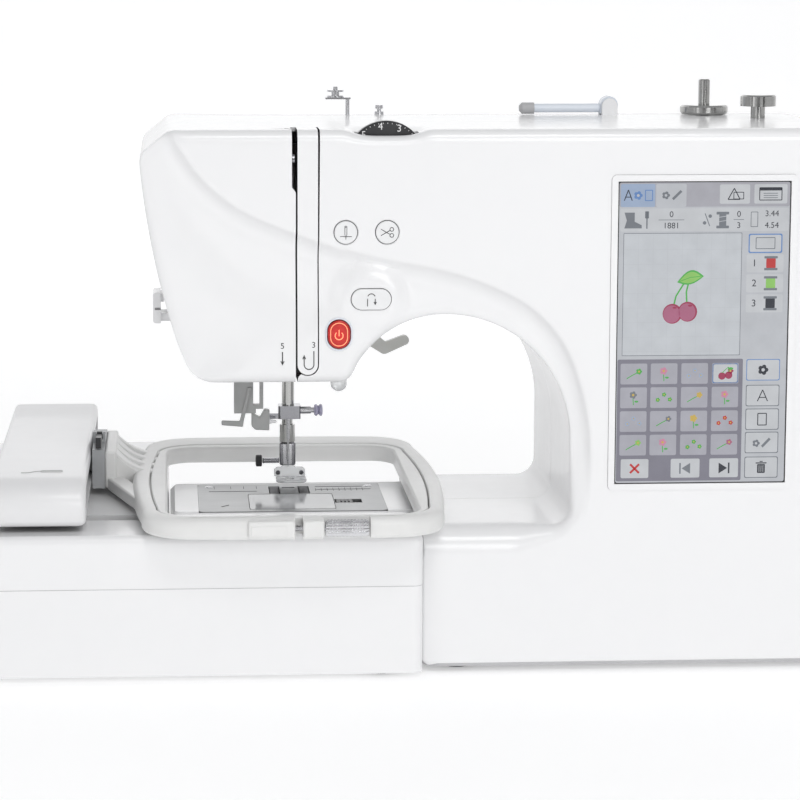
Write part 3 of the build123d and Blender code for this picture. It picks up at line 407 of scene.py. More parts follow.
# Depth of the hollow against the distance under the crease
hollow_distance = (-2.0, -0.8, 0.0, 0.9, 2.2, 4.0, 6.5, 9.5, 13.0, 20.0, 30.0, 45.0, 60.0)
hollow_depth = (0.0, 0.12, 0.5, 1.6, 2.9, 4.0, 4.7, 4.8, 4.5, 3.6, 2.3, 1.0, 0.3)
# Middles of the buttons in (x, z), and the sizes of the two long ones
position_button, cutter_button = (-28.5, 226.3), (-7.7, 226.3)
reverse_button, reverse_size = (-15.6, 192.5), (20.7, 11.2)
start_button, start_size = (-31.8, 174.9), (15.0, 11.9)
button_radius = 6.1
# Flat rings round the buttons: x, z, inner and outer radius
pads = ((*position_button, 7.5, 12.0), (*cutter_button, 7.5, 12.0), (*reverse_button, 12.0, 21.0),
        (*start_button, 9.0, 17.0))
# Left of the fold the face falls away with this slope, rounded by this much, and has a groove along it
fold_slope, fold_round, groove_depth, groove_width = 0.14, 2.0, 0.7, 6.0
# Millimetres before the lower end of a line over which it fades out
fold_fade, groove_fade, crease_fade = 14.0, 30.0, 38.0
dial_x, dial_z, dial_y = -7.7, 261.8, -98.0


def smooth_line(points, step):
    """Even points along a smooth curve through the given ones."""
    line = np.array(points, float)
    padded = np.vstack([2 * line[0] - line[1], line, 2 * line[-1] - line[-2]])
    samples = []
    for i in range(1, len(padded) - 2):
        p0, p1, p2, p3 = padded[i - 1 : i + 3]
        for t in np.linspace(0, 1, 12, endpoint=False):
            bend = (2 * p0 - 5 * p1 + 4 * p2 - p3) * t * t + (3 * p1 - p0 - 3 * p2 + p3) * t**3
            samples.append(0.5 * (2 * p1 + (p2 - p0) * t + bend))
    samples.append(line[-1])
    samples = np.array(samples)
    lengths = np.concatenate([[0], np.cumsum(np.linalg.norm(np.diff(samples, axis=0), axis=1))])
    stations = np.linspace(0, lengths[-1], int(lengths[-1] / step) + 1)
    return np.column_stack([np.interp(stations, lengths, samples[:, i]) for i in (0, 1)])


crease = smooth_line(crease_line, 1.0)
fold = smooth_line(fold_line, 1.0)


def unit(vectors):
    return vectors / np.linalg.norm(vectors, axis=1)[:, None]


def side_distance(points, line):
    """Distance to a line, positive on its right-hand side going along it, and the nearest index."""
    points = np.atleast_2d(points)
    gaps = np.linalg.norm(points[:, None, :] - line[None, :, :], axis=2)
    nearest = np.argmin(gaps, axis=1)
    direction = unit(np.gradient(line, axis=0))
    away = points - line[nearest]
    along = direction[nearest]
    across = away[:, 0] * along[:, 1] - away[:, 1] * along[:, 0]
    return np.sign(across) * gaps[np.arange(len(points)), nearest], nearest


def hollow(points):
    """How far the front face lies behind the plane of the display, at each (x, z)."""
    points = np.atleast_2d(points)
    below, nearest = side_distance(points, crease)
    depth = np.interp(below, hollow_distance, hollow_depth)
    depth *= np.clip((len(crease) - 1 - nearest) / crease_fade, 0, 1)
    left, nearest = side_distance(points, fold)
    to_end = len(fold) - 1 - nearest
    slope = fold_slope * np.clip(to_end / fold_fade, 0, 1)
    depth += slope * (np.sqrt(np.maximum(left, 0) ** 2 + fold_round**2) - fold_round)
    depth += groove_depth * np.clip(to_end / groove_fade, 0, 1) * np.exp(-((left / groove_width) ** 2))
    for x, z, inner, outer in pads:
        away = np.hypot(points[:, 0] - x, points[:, 1] - z)
        flat = np.clip((away - inner) / (outer - inner), 0, 1)
        flat = flat * flat * (3 - 2 * flat)
        depth = depth * flat + np.minimum(depth, 0.5) * (1 - flat)
    return depth


def filleted(corners, step=2.0):
    """Outline through (x, z, radius) corners, with straight runs and arcs in even steps."""
    outline = []
    count = len(corners)
    for i, (x, z, radius) in enumerate(corners):
        here = Vector((x, z))
        before = (Vector(corners[i - 1][:2]) - here).normalized()
        after = (Vector(corners[(i + 1) % count][:2]) - here).normalized()
        if radius == 0:
            outline.append(tuple(here))
            continue
        half = before.angle(after) / 2
        reach = radius / math.tan(half)
        centre = here + (before + after).normalized() * radius / math.sin(half)
        start, end = here + before * reach, here + after * reach
        a0 = math.atan2(start.y - centre.y, start.x - centre.x)
        turn = math.atan2(end.y - centre.y, end.x - centre.x) - a0
        turn = (turn + math.pi) % (2 * math.pi) - math.pi
        steps = max(3, int(abs(turn) * radius / step) + 2)
        for k in range(steps + 1):
            angle = a0 + turn * k / steps
            outline.append((centre.x + radius * math.cos(angle), centre.y + radius * math.sin(angle)))
    return outline


def evened(line, step):
    """The line with extra points on its long runs, without its last point."""
    points = []
    for a, b in zip(line, line[1:]):
        pieces = max(1, round(math.dist(a, b) / step))
        across, up = b[0] - a[0], b[1] - a[1]
        points += [(a[0] + across * k / pieces, a[1] + up * k / pieces) for k in range(pieces)]
    return points


def through(a, b, c, step=2.0):
    """Points of the circular arc a-b-c, without its two ends."""
    (ax, az), (bx, bz), (cx, cz) = a, b, c
    d = 2 * (ax * (bz - cz) + bx * (cz - az) + cx * (az - bz))
    aa, bb, cc = ax * ax + az * az, bx * bx + bz * bz, cx * cx + cz * cz
    x = (aa * (bz - cz) + bb * (cz - az) + cc * (az - bz)) / d
    z = (aa * (cx - bx) + bb * (ax - cx) + cc * (bx - ax)) / d
    radius = math.dist(a, (x, z))
    a0 = math.atan2(az - z, ax - x)
    turn = (math.atan2(cz - z, cx - x) - a0 + math.pi) % (2 * math.pi) - math.pi
    steps = max(2, int(abs(turn) * radius / step))
    return [
        (x + radius * math.cos(a0 + turn * k / steps), z + radius * math.sin(a0 + turn * k / steps))
        for k in range(1, steps)
    ]


def front_outline():
    """Front elevation of the head, arm, pillar and base, counter-clockwise from the base's left."""
    slope = arch_radius * 0.5**0.5
    crown, side = (arch_x, arch_top_z), (throat_right, arch_top_z - arch_radius)
    shoulder = (arch_x + slope, arch_top_z - arch_radius + slope)
    arch_right = [(x, z, 0) for x, z in through(side, shoulder, crown)]
    arch_left = [(x, z, 0) for x, z in through(crown, (-7.6, arch_top_z - 9.3), (-26.5, 150.0))]
    cheek = [(x, z, 0) for x, z in through((-113.5, 172.0), (-126.0, 222.0), (head_left, 265.0))]
    corners = [(base_left, bed_z, 0), (base_left, bed_z - bed_round, 0)]
    corners += [(base_left, base_z, 4.0), (body_right, base_z, 4.0), (body_right, top_z, 32.0)]
    corners += [(head_left + 15.2, top_z, 8.5), (head_left, 265.0, 8.5)]
    corners += cheek[::-1][3:] + [(-113.5, 172.0, 0), (-105.0, 150.0, 16.0), (-26.5, 150.0, 8.0)]
    corners += arch_left[::-1][4:] + [(*crown, 0)] + arch_right[::-1]
    corners += [(*side, 0), (throat_right, bed_z, 10.0)]
    corner, *rest = filleted(corners)
    return [corner] + evened(rest + [corner], 2.2)


def cover_skin(edge_y, join_y, edge_radius, corner_shift, spacing, depth=None, rows=()):
    """Points and faces of one half of the housing, open at the joint and rounded at its outer edge."""
    away = 1 if join_y > edge_y else -1
    points, faces = [], []
    rings = []
    for fraction in rows:
        rings.append([(x, join_y + (edge_y + away * r - join_y) * fraction, z)
                      for (x, z), r in zip(outline, edge_radius)])
    shifts = inward * edge_radius[:, None]
    shifts[0] = corner_shift
    for turn in np.radians(np.linspace(0, 90, 8)):
        ring = outline + shifts * (1 - math.cos(turn))
        sunk = depth(ring) if depth else np.zeros(len(ring))
        y = edge_y + away * (edge_radius * (1 - math.sin(turn)) + sunk * math.sin(turn))
        rings.append([(p[0], v, p[1]) for p, v in zip(ring, y)])
    for ring in rings:
        points += ring
    for row in range(len(rings) - 1):
        for i in range(count):
            j = (i + 1) % count
            faces.append((row * count + i, row * count + j, (row + 1) * count + j, (row + 1) * count + i))
    rim = np.array([(p[0], p[2]) for p in rings[-1]])
    inside = fill_points(rim, spacing, depth is not None)
    loop = [(i, (i + 1) % count) for i in range(count)]
    flat = [Vector(p) for p in rim] + [Vector(p) for p in inside]
    filled, _, triangles, *_ = delaunay_2d_cdt(flat, loop, [], 1, 1e-5)
    filled = np.array([(p.x, p.y) for p in filled])
    sunk = depth(filled) if depth else np.zeros(len(filled))
    start = len(points)
    points += [(p[0], edge_y + away * d, p[1]) for p, d in zip(filled, sunk)]
    faces += [tuple(start + i for i in triangle) for triangle in triangles]
    return points, faces


def inside_polygon(points, polygon):
    inside = np.zeros(len(points), bool)
    for (x0, z0), (x1, z1) in zip(polygon, np.roll(polygon, -1, axis=0)):
        if z0 != z1:
            crossing = (z0 > points[:, 1]) != (z1 > points[:, 1])
            inside ^= crossing & (points[:, 0] < (x1 - x0) * (points[:, 1] - z0) / (z1 - z0) + x0)
    return inside


def fill_points(rim, spacing, with_crease):
    """Even points inside the rim, in rows along the crease where there is one."""
    low, high = rim.min(axis=0), rim.max(axis=0)
    grid = []
    for row, z in enumerate(np.arange(low[1], high[1], spacing * 0.866)):
        grid += [(x + spacing / 2 * (row % 2), z) for x in np.arange(low[0], high[0], spacing)]
    grid = np.array(grid)
    if with_crease:
        below, _ = side_distance(grid, crease)
        left, _ = side_distance(grid, fold)
        grid = grid[((below < -3.5) | (below > 15.0)) & (np.abs(left) > 2.0)]
        direction = unit(np.gradient(crease, axis=0))
        normal = np.column_stack([direction[:, 1], -direction[:, 0]])
        bands = [(crease + normal * offset)[::2] for offset in hollow_distance[:9]]
        line_points = fold[::2]
        line_points = line_points[side_distance(line_points, crease)[0] > 15.0]
        grid = np.vstack([grid, line_points] + bands)
    grid = grid[inside_polygon(grid, rim)]
    gaps = np.array([np.min(np.hypot(*(rim - p).T)) for p in grid])
    return grid[gaps > min(1.3, spacing / 2)]


# Radii of the rounded edges: front of the bed, rest of the front, rear, and along the bottom
bed_round, front_round, rear_round, bottom_round = 14.0, 6.0, 7.0, 3.0
skin_thickness = 2.2
outline = np.array(front_outline())
count = len(outline)
tangent = unit(np.roll(outline, -1, axis=0) - np.roll(outline, 1, axis=0))
inward = np.column_stack([-tangent[:, 1], tangent[:, 0]])
on_bed = (outline[:, 1] < bed_z + 12) & (outline[:, 1] > bed_z - 0.1) & (outline[:, 0] < throat_right + 1)
on_bed &= outline[:, 0] > base_left - 1
on_left = (outline[:, 0] < base_left + 0.5) & (outline[:, 1] <= bed_z - bed_round + 0.1)


def near_bottom(radius):
    """The radius, brought down towards the two bottom corners and on the hidden left side."""
    for corner in ((base_left, base_z), (body_right, base_z)):
        away = np.hypot(*(outline - corner).T)
        radius = np.minimum(radius, bottom_round + 0.15 * away)
    radius = np.where(outline[:, 1] < base_z + 0.5, bottom_round, radius)
    return np.where(on_left, np.minimum(radius, 1.5), radius)


bed_blend = np.clip((throat_right - 4 - outline[:, 0]) / 24.0, 0, 1)
on_bed_radius = front_round + (bed_round - front_round) * bed_blend
front_radius = near_bottom(np.where(on_bed, on_bed_radius, front_round))
front_radius[0] = bed_round
facet_gap = np.hypot(*(outline - (head_left + 12, top_z)).T)
on_top = outline[:, 1] > 240.0
on_top_radius = np.minimum(18.0, rear_round + 0.35 * np.maximum(facet_gap - 14, 0))
rear_radius = near_bottom(np.where(on_top, on_top_radius, rear_round))
rear_radius[0] = rear_round


# The scoop in the top edge in front of the tension dial
scoop_depth, scoop_half_width, scoop_back_y, scoop_length, scoop_low_z = 3.2, 23.0, -78.0, 14.0, 264.0


def scooped(points):
    """Lowers the top edge in front of the tension dial."""
    lowered = []
    for x, y, z in points:
        across = max(0.0, 1 - (abs(x - dial_x) / scoop_half_width) ** 4)
        forward = min(1.0, max(0.0, (scoop_back_y - y) / scoop_length))
        up = min(1.0, max(0.0, (z - scoop_low_z) / (top_z - scoop_low_z)))
        lowered.append((x, y, z - scoop_depth * across**2 * forward * up))
    return lowered


def blank(name, points, faces, thickness=0.0):
    """A solid to be cut. With a thickness it is a skin."""
    obj = in_scene(name, mesh_of(name, points, faces))
    if thickness:
        modifier = obj.modifiers.new("thickness", "SOLIDIFY")
        modifier.thickness = thickness * MM
        modifier.offset = -1.0
    return obj


def prism(outline_points, low, high, axis="y", flared=False):
    """Points and faces of a cutter. A flared one widens towards its low end, as round a button."""
    centre = np.mean(outline_points, axis=0)
    sections = [(low, 0.0), (high, 0.0)]
    if flared:
        sections = [(low, flare), (flare_from, flare), (flare_from + flare, 0.0), (high, 0.0)]
    points, faces = [], []
    n = len(outline_points)
    for place, grow in sections:
        section = outline_points
        if grow:
            away = [Vector((a - centre[0], b - centre[1])).normalized() for a, b in outline_points]
            section = [Vector(point) + direction * grow for point, direction in zip(outline_points, away)]
        points += lifted(section, axis, place)
    faces.append(tuple(range(n)))
    faces.append(tuple(range(len(points) - 1, len(points) - n - 1, -1)))
    for row in range(len(sections) - 1):
        faces += [(row * n + i, (row + 1) * n + i, (row + 1) * n + (i + 1) % n, row * n + (i + 1) % n)
                  for i in range(n)]
    return points, faces


def cut(name, solid, prisms, body, material, operation="DIFFERENCE", keep=False):
    """A piece of the solid: what the cutters leave of it, or what they share with it."""
    points, faces = [], []
    for more_points, more_faces in prisms:
        start = len(points)
        points += more_points
        faces += [tuple(start + i for i in face) for face in more_faces]
    cutter = in_scene(name + "_cutter", mesh_of(name + "_cutter", points, faces, merged=False))
    modifier = solid.modifiers.new("cut", "BOOLEAN")
    modifier.object = cutter
    modifier.operation = operation
    modifier.solver = "EXACT"
    bpy.context.view_layer.update()
    graph = bpy.context.evaluated_depsgraph_get()
    mesh = bpy.data.meshes.new_from_object(solid.evaluated_get(graph))
    if not mesh.polygons:
        raise RuntimeError(f"nothing is left of {name}")
    solid.modifiers.remove(modifier)
    bpy.data.objects.remove(cutter)
    if not keep:
        bpy.data.objects.remove(solid)
    smooth(mesh, 32.0)
    mesh.materials.clear()
    return link(name, mesh, body, material)


screen_x, screen_z, screen_border = (108.4, 195.9), (97.1, 251.2), 3.4


def grown(limits, margin):
    return limits[0] - margin, limits[1] + margin


def pill(centre, width, height):
    x, z = ((middle - size / 2, middle + size / 2) for middle, size in zip(centre, (width, height)))
    return rounded_box(x, z, min(width, height) / 2 - 0.02, 10)


points, faces = cover_skin(
    front_y, split_y - 0.15, front_radius, (1.5, -bed_round), 2.6, hollow,
    (0, 0.2, 0.4, 0.6, 0.7, 0.78, 0.84, 0.88, 0.92, 0.96),
)
front_solid = blank("front_solid", scooped(points), faces, skin_thickness)
slot_back = front_y + 24.0
slot_left, slot_right = strip_x[0] - 0.9, strip_x[1] + strip_gap
above = top_z + 3
strip_middle, strip_radius = -47.5, 5.1
slot_radius = strip_radius + strip_gap
round_z = strip_bottom_z + strip_radius
strip_outline = arc(strip_middle, round_z, strip_radius, 180, 360)
strip_outline = [(strip_x[0], above)] + strip_outline + [(strip_x[1], above)]
slot_outline = (
    [(-55.4, above), (-55.4, 249.0), (slot_left, 246.5), (slot_left, 140.0), (slot_left + 1.1, 140.0),
     (slot_left + 1.1, 152.2), (slot_left + 1.4, 153.2), (slot_left + 2.0, 154.0)]
    + arc(strip_middle, round_z, slot_radius, 235, 360)
    + [(slot_right, 215.0), (slot_right + 0.45, above)]
)
flare = 0.35
flare_from = front_y + 0.15
before, front_depth = front_y - 2, front_y + 6.0
buttons = [circle(*centre, button_radius, 48) for centre in (position_button, cutter_button)]
buttons += [pill(reverse_button, *reverse_size), pill(start_button, *start_size[::-1])]
display_opening = rounded_box(grown(screen_x, screen_border), grown(screen_z, screen_border), 2.6)
dial_slot = rounded_box((-24.0, 8.6), (-100.0, -90.0), 1.5)
cutters = [prism(slot_outline, before, slot_back)]
cutters += [prism(button, before, front_depth, "y", True) for button in buttons]
cutters += [prism(display_opening, before, front_depth), prism(dial_slot, top_z - 12, top_z + 2, "z")]
# The slot bends to the left on top. It is cut on its own, because it overlaps the slot
slot_bend = [(-55.3, -100.0), (-56.6, -96.5), (-60.0, -92.6), (-64.5, -89.4), (-64.0, -88.6), (-58.6, -91.4),
             (-54.5, -95.5), (-52.9, -100.0)]
bend_cutter = prism(slot_bend, top_z - 9, top_z + 2, "z")
front_open = cut("front_open", front_solid, cutters, "housing", shell_white, keep=True)
front_shell = cut("front_shell", front_open, [bend_cutter], "housing", shell_white)
strip_cutter = prism(strip_outline, before, slot_back - 0.6)
strip = cut("thread_strip_cover", front_solid, [strip_cutter], "housing", shell_white, "INTERSECT")


def paint_slot_shade(piece):
    """Painted shade: a dark material on the walls of the thread path's slots, which lie deep in shade."""
    piece.data.materials.append(joint_and_shade_dark)
    for polygon in piece.data.polygons:
        px, py, pz = polygon.center / MM
        by_slot = -64.0 < px < -41.0 and py > front_y + 0.5 and pz > strip_bottom_z - 7
        if by_slot and abs(polygon.normal.x) > 0.5:
            polygon.material_index = 1


# Painted shade on the slot walls of the front shell and of the thread strip
paint_slot_shade(front_shell)
paint_slot_shade(strip)
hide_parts("front_cover")
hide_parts("thread_strip")


# --------------------------------------------------------------------------- rear cover
rear_y = 38.5
points, faces = cover_skin(
    rear_y, split_y + 0.15, rear_radius, (1.5, -rear_round), 7.0, None, (0, 0.25, 0.5, 0.75),
)
rear_solid = blank("rear_solid", points, faces, skin_thickness)
side_band = (body_right - 6, body_right + 3)
cutters = [
    prism(rounded_box((-92.0, -42.0), (-20.0, 18.0), 3.0), 144.0, 158.0, "z"),
    prism(circle(0.0, 235.0, 8.0, 40), *side_band, "x"),
    prism(rounded_box((-25.0, 25.0), (25.0, 95.0), 1.5), *side_band, "x"),
    prism(rounded_box((170.6, 185.4), (6.1, 13.9), 3.8), 268.0, 280.0, "z"),
]
for row in range(7):
    cutters.append(prism(pill((170.0, 46.0 + 8.0 * row), 64.0, 3.0), rear_y - 8, rear_y + 2))
rear_shell = cut("rear_shell", rear_solid, cutters, "housing", shell_white)

spool_x, spool_y, spool_z = 122.7, 14.4, 282.8
for side, name in ((-1, "spool_pin_ear_front"), (1, "spool_pin_ear_rear")):
    ear_y = sorted((spool_y + side * 4.2, spool_y + side * 6.0))
    ear = [(118.4, top_z - 1)] + arc(spool_x, spool_z - 0.6, 4.3, 180, 0, 16) + [(127.0, top_z - 1)]
    extruded(name, ear, *ear_y, "housing", shell_white, 0.4)
pivot_x, pivot_z = -28.0, 168.0
boss, pin = circle(pivot_x, pivot_z, 4.5), circle(pivot_x, pivot_z, 2.5)
extruded("lever_pivot_boss", boss, rear_y - 1, rear_y + 0.4, "housing", shell_white, 0.2)
extruded("lever_pivot_pin", pin, rear_y, rear_y + 5.4, "housing", chrome_screw, 0.4)
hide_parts("rear_cover")

# ------------------------------------------------------------------------ display image
screen_left, screen_top, glass_y = screen_x[0], screen_z[1], front_y - 0.3


def on_screen(u, v, layer):
    """A point u to the right of and v below the glass's top left corner."""
    return screen_left + u, glass_y - 0.02 - 0.02 * layer, screen_top - v


class Picture:
    """Flat coloured shapes on the display, gathered into one mesh per colour."""

    def __init__(self):
        self.shapes = {}

    def polygon(self, colour, points, layer):
        self.shapes.setdefault(colour, []).append([on_screen(u, v, layer) for u, v in points])

    def box(self, colour, u0, u1, v0, v1, layer, radius=0.8):
        self.polygon(colour, rounded_box((u0, u1), (v0, v1), radius, 3), layer)

    def disc(self, colour, u, v, radius, layer, stretch=1.0):
        turns = np.linspace(0, 2 * math.pi, 25)[:-1]
        rim = [(u + radius * math.cos(t), v + stretch * radius * math.sin(t)) for t in turns]
        self.polygon(colour, rim, layer)

    def stroke(self, colour, points, width, layer):
        for (u0, v0), (u1, v1) in zip(points, points[1:]):
            length = math.hypot(u1 - u0, v1 - v0) or 1.0
            nu, nv = -(v1 - v0) / length * width / 2, (u1 - u0) / length * width / 2
            quad = [(u0 + nu, v0 + nv), (u1 + nu, v1 + nv), (u1 - nu, v1 - nv), (u0 - nu, v0 - nv)]
            self.polygon(colour, quad, layer)

    def outlined(self, colour, u0, u1, v0, v1, width, layer):
        self.stroke(colour, [(u0, v0), (u1, v0), (u1, v1), (u0, v1), (u0, v0)], width, layer)

    def flower(self, colour, middle, u, v, size, layer):
        for turn in np.linspace(0, 2 * math.pi, 6)[:-1]:
            petal_u, petal_v = u + size * 0.55 * math.cos(turn), v + size * 0.55 * math.sin(turn)
            self.disc(colour, petal_u, petal_v, size * 0.38, layer)
        self.disc(middle, u, v, size * 0.3, layer + 1)

    def build(self, colours):
        for colour, shapes in self.shapes.items():
            points, faces = [], []
            for shape in shapes:
                faces.append(tuple(range(len(points), len(points) + len(shape))))
                points += shape
            mesh = bpy.data.meshes.new("display_" + colour)
            mesh.from_pydata([tuple(c * MM for c in p) for p in points], [], faces)
            bm = bmesh.new()
            bm.from_mesh(mesh)
            for face in bm.faces:
                if face.normal.y > 0:
                    face.normal_flip()
            bm.to_mesh(mesh)
            bm.free()
            link("display_" + colour, mesh, "housing", colours[colour])


colours = {name: lit("display_" + name.replace("deep", "deep_slate"), colour) for name, colour in {
    "slate": (0.47, 0.47, 0.52), "deep": (0.26, 0.255, 0.31), "mist": (0.6, 0.62, 0.66),
    "canvas": (0.66, 0.69, 0.73), "tile": (0.48, 0.48, 0.54), "button": (0.66, 0.68, 0.71),
    "blue": (0.16, 0.30, 0.62), "sky": (0.4, 0.5, 0.68), "ink": (0.035, 0.04, 0.055),
    "grey": (0.22, 0.24, 0.27), "cherry": (0.42, 0.05, 0.12), "blush": (0.5, 0.16, 0.27),
    "leaf": (0.10, 0.50, 0.10), "lime": (0.32, 0.66, 0.16), "red": (0.62, 0.05, 0.05),
    "rose": (0.72, 0.30, 0.45), "gold": (0.70, 0.50, 0.12),
}.items()}
picture = Picture()
box, disc, stroke, outlined = picture.box, picture.disc, picture.stroke, picture.outlined
flower, polygon = picture.flower, picture.polygon
screen_width, screen_height = 87.5, 154.1
box("mist", 0.5, screen_width - 0.5, 0.5, screen_height - 0.5, 0, 1.0)
# Top bar and its tabs
box("slate", 0.5, screen_width - 0.5, 0.5, 12.8, 1, 1.0)
box("sky", 1.2, 18.6, 1.2, 12.8, 2)
box("mist", 19.0, 34.4, 1.2, 12.8, 2)
flower("blue", "mist", 10.0, 7.0, 2.4, 3)
stroke("ink", [(3.0, 9.6), (5.0, 4.2), (7.0, 9.6)], 0.5, 3)
stroke("ink", [(3.7, 7.8), (6.3, 7.8)], 0.45, 3)
outlined("blue", 13.6, 17.2, 4.4, 9.6, 0.45, 3)
flower("grey", "mist", 24.0, 7.0, 2.2, 3)
stroke("grey", [(27.5, 9.0), (31.8, 4.8)], 1.3, 3)
box("button", 51.3, 66.6, 1.6, 11.4, 2)
box("button", 68.8, 85.6, 1.6, 11.4, 2)
stroke("ink", [(55.5, 9.2), (58.6, 3.6), (61.6, 9.2), (55.5, 9.2)], 0.5, 3)
outlined("ink", 58.4, 63.4, 5.6, 9.0, 0.4, 3)
outlined("ink", 71.5, 82.8, 3.4, 9.6, 0.45, 3)
box("ink", 71.5, 82.8, 3.2, 4.8, 3, 0.1)
for line in range(3):
    stroke("grey", [(73.5, 6.2 + line * 1.1), (80.8, 6.2 + line * 1.1)], 0.35, 3)
# Information row
box("button", 1.0, 86.5, 13.6, 25.2, 1)
foot = [(3.2, 15.6), (8.4, 15.6), (8.4, 20.2), (12.0, 22.0), (12.0, 23.6), (3.2, 23.6), (4.4, 19.6)]
polygon("grey", foot, 2)
stroke("grey", [(14.6, 15.0), (14.6, 23.8)], 0.7, 2)
box("grey", 13.6, 15.6, 15.0, 18.6, 2, 0.3)
stroke("grey", [(20.5, 19.4), (33.5, 19.4)], 0.3, 2)
box("grey", 49.8, 56.2, 15.4, 16.8, 2, 0.3)
box("grey", 49.8, 56.2, 22.4, 23.8, 2, 0.3)
box("grey", 51.2, 54.8, 16.8, 22.4, 2, 0.2)
stroke("mist", [(51.2, 18.2), (54.8, 17.6)], 0.3, 3)
stroke("mist", [(51.2, 20.4), (54.8, 19.8)], 0.3, 3)
stroke("grey", [(58.5, 19.4), (63.8, 19.4)], 0.3, 2)
outlined("grey", 67.4, 70.8, 15.6, 23.0, 0.35, 2)
stroke("grey", [(44.0, 16.2), (46.4, 22.6)], 0.45, 2)
disc("grey", 43.8, 21.0, 0.9, 2)
disc("grey", 46.6, 17.6, 0.9, 2)
# Canvas with a pair of cherries
box("grey", 2.9, 63.1, 26.0, 88.4, 1, 0.3)
box("canvas", 3.2, 62.8, 26.3, 88.1, 2, 0.3)
for mark in range(9):
    stroke("mist", [(3.2 + 7.4 * mark, 26.3), (3.2 + 7.4 * mark, 88.1)], 0.12, 3)
    stroke("mist", [(3.2, 27.0 + 7.4 * mark), (62.8, 27.0 + 7.4 * mark)], 0.12, 3)
stroke("leaf", [(28.6, 64.0), (30.0, 58.0), (33.4, 52.4), (37.2, 48.4)], 0.8, 4)
stroke("leaf", [(35.6, 63.0), (35.2, 56.0), (36.2, 51.4), (37.2, 48.4)], 0.8, 4)
for u, v in ((28.2, 67.0), (36.0, 66.0)):
    disc("cherry", u, v, 4.9, 5, 1.04)
    disc("blush", u - 0.3, v + 0.2, 4.3, 6, 1.04)
    disc("cherry", u + 1.2, v - 3.1, 1.1, 7, 0.5)
leaf_edge = []
for swell, steps in ((-4.6, np.linspace(0, 1, 9)), (2.6, np.linspace(1, 0, 9)[1:-1])):
    leaf_edge += [(30.4 + t * 13.6, 51.0 - 3.0 * t + swell * math.sin(math.pi * t)) for t in steps]
polygon("leaf", leaf_edge, 5)
inner_leaf = [(37.2 + (u - 37.2) * 0.84, 48.8 + (v - 48.8) * 0.78) for u, v in leaf_edge]
polygon("lime", inner_leaf, 6)
stroke("leaf", [(31.6, 50.6), (37.0, 48.6), (42.6, 48.0)], 0.35, 7)
# Thread colours
box("blue", 66.4, 83.6, 26.6, 36.4, 1)
box("button", 67.0, 83.0, 27.2, 35.8, 2)
outlined("grey", 70.2, 79.8, 28.6, 34.2, 0.4, 3)
for v, colour in ((41.6, "red"), (51.8, "lime"), (62.0, "ink")):
    box("button", 65.6, 84.4, v - 4.6, v + 4.6, 1)
    box("grey", 74.6, 81.4, v - 3.6, v - 2.4, 2, 0.3)
    box("grey", 74.6, 81.4, v + 2.4, v + 3.6, 2, 0.3)
    box(colour, 75.6, 80.4, v - 2.4, v + 2.4, 3, 0.3)
# Pattern grid
box("deep", 0.8, 64.8, 90.2, 152.8, 1)
tile_u, tile_v = (9.2, 24.6, 40.2, 55.9), (97.6, 109.8, 122.0, 134.2)
petals = "leaf rose sky cherry grey leaf gold rose sky grey gold red lime rose leaf blush".split()
for place, petal in enumerate(petals):
    u, v = tile_u[place % 4], tile_v[place // 4]
    box("tile", u - 6.8, u + 6.8, v - 5.3, v + 5.3, 2)
    if place % 3 == 0:
        stroke("leaf", [(u - 3.6, v + 2.4), (u - 0.6, v + 0.6), (u + 3.8, v - 1.6)], 0.45, 3)
        flower(petal, "gold", u + 2.6, v - 1.2, 1.7, 4)
    elif place % 3 == 1:
        stroke("leaf", [(u, v + 3.8), (u - 0.3, v - 0.4)], 0.45, 3)
        flower(petal, "gold", u - 0.2, v - 1.4, 2.1, 4)
        disc("leaf", u + 1.5, v + 2.0, 1.0, 4, 0.5)
    else:
        for du, dv in ((-3.0, 1.2), (0.2, -1.5), (3.2, 1.0)):
            flower(petal, "gold", u + du, v + dv, 1.25, 4)
box("blue", 49.3, 62.5, 92.5, 102.7, 2)
box("button", 49.8, 62.0, 93.0, 102.2, 3)
disc("cherry", 54.2, 99.0, 1.9, 4)
disc("cherry", 57.6, 98.6, 1.9, 4)
stroke("leaf", [(54.2, 97.4), (57.4, 94.4), (57.7, 97.0)], 0.35, 5)
disc("leaf", 58.6, 95.2, 1.3, 5, 0.5)
# Bottom row and the buttons on the right
for u0, u1 in ((3.2, 17.4), (28.8, 43.6), (48.6, 63.4)):
    box("button", u0, u1, 141.4, 151.2, 2)
stroke("red", [(8.0, 144.0), (12.6, 148.6)], 1.1, 3)
stroke("red", [(12.6, 144.0), (8.0, 148.6)], 1.1, 3)
polygon("grey", [(38.8, 143.6), (38.8, 149.2), (34.4, 146.4)], 3)
stroke("grey", [(33.6, 143.6), (33.6, 149.2)], 0.8, 3)
polygon("ink", [(53.4, 143.6), (53.4, 149.2), (57.8, 146.4)], 3)
stroke("ink", [(58.6, 143.6), (58.6, 149.2)], 0.8, 3)
side_v = (96.0, 109.2, 121.4, 133.4, 146.2)
for v in side_v:
    box("blue" if v == side_v[0] else "grey", 66.6, 83.8, v - 5.5, v + 5.5, 1)
    box("button", 67.0, 83.4, v - 5.1, v + 5.1, 2)
flower("ink", "button", 75.2, side_v[0], 2.9, 3)
stroke("ink", [(72.6, side_v[1] + 2.9), (75.2, side_v[1] - 2.9), (77.8, side_v[1] + 2.9)], 0.5, 3)
stroke("ink", [(73.5, side_v[1] + 1.0), (76.9, side_v[1] + 1.0)], 0.45, 3)
outlined("ink", 73.0, 77.4, side_v[2] - 3, side_v[2] + 3, 0.5, 3)
flower("grey", "button", 72.4, side_v[3] + 0.4, 2.1, 3)
stroke("grey", [(75.4, side_v[3] + 2.2), (79.4, side_v[3] - 2.0)], 1.3, 3)
box("ink", 73.2, 77.2, side_v[4] - 1.6, side_v[4] + 3.0, 3, 0.4)
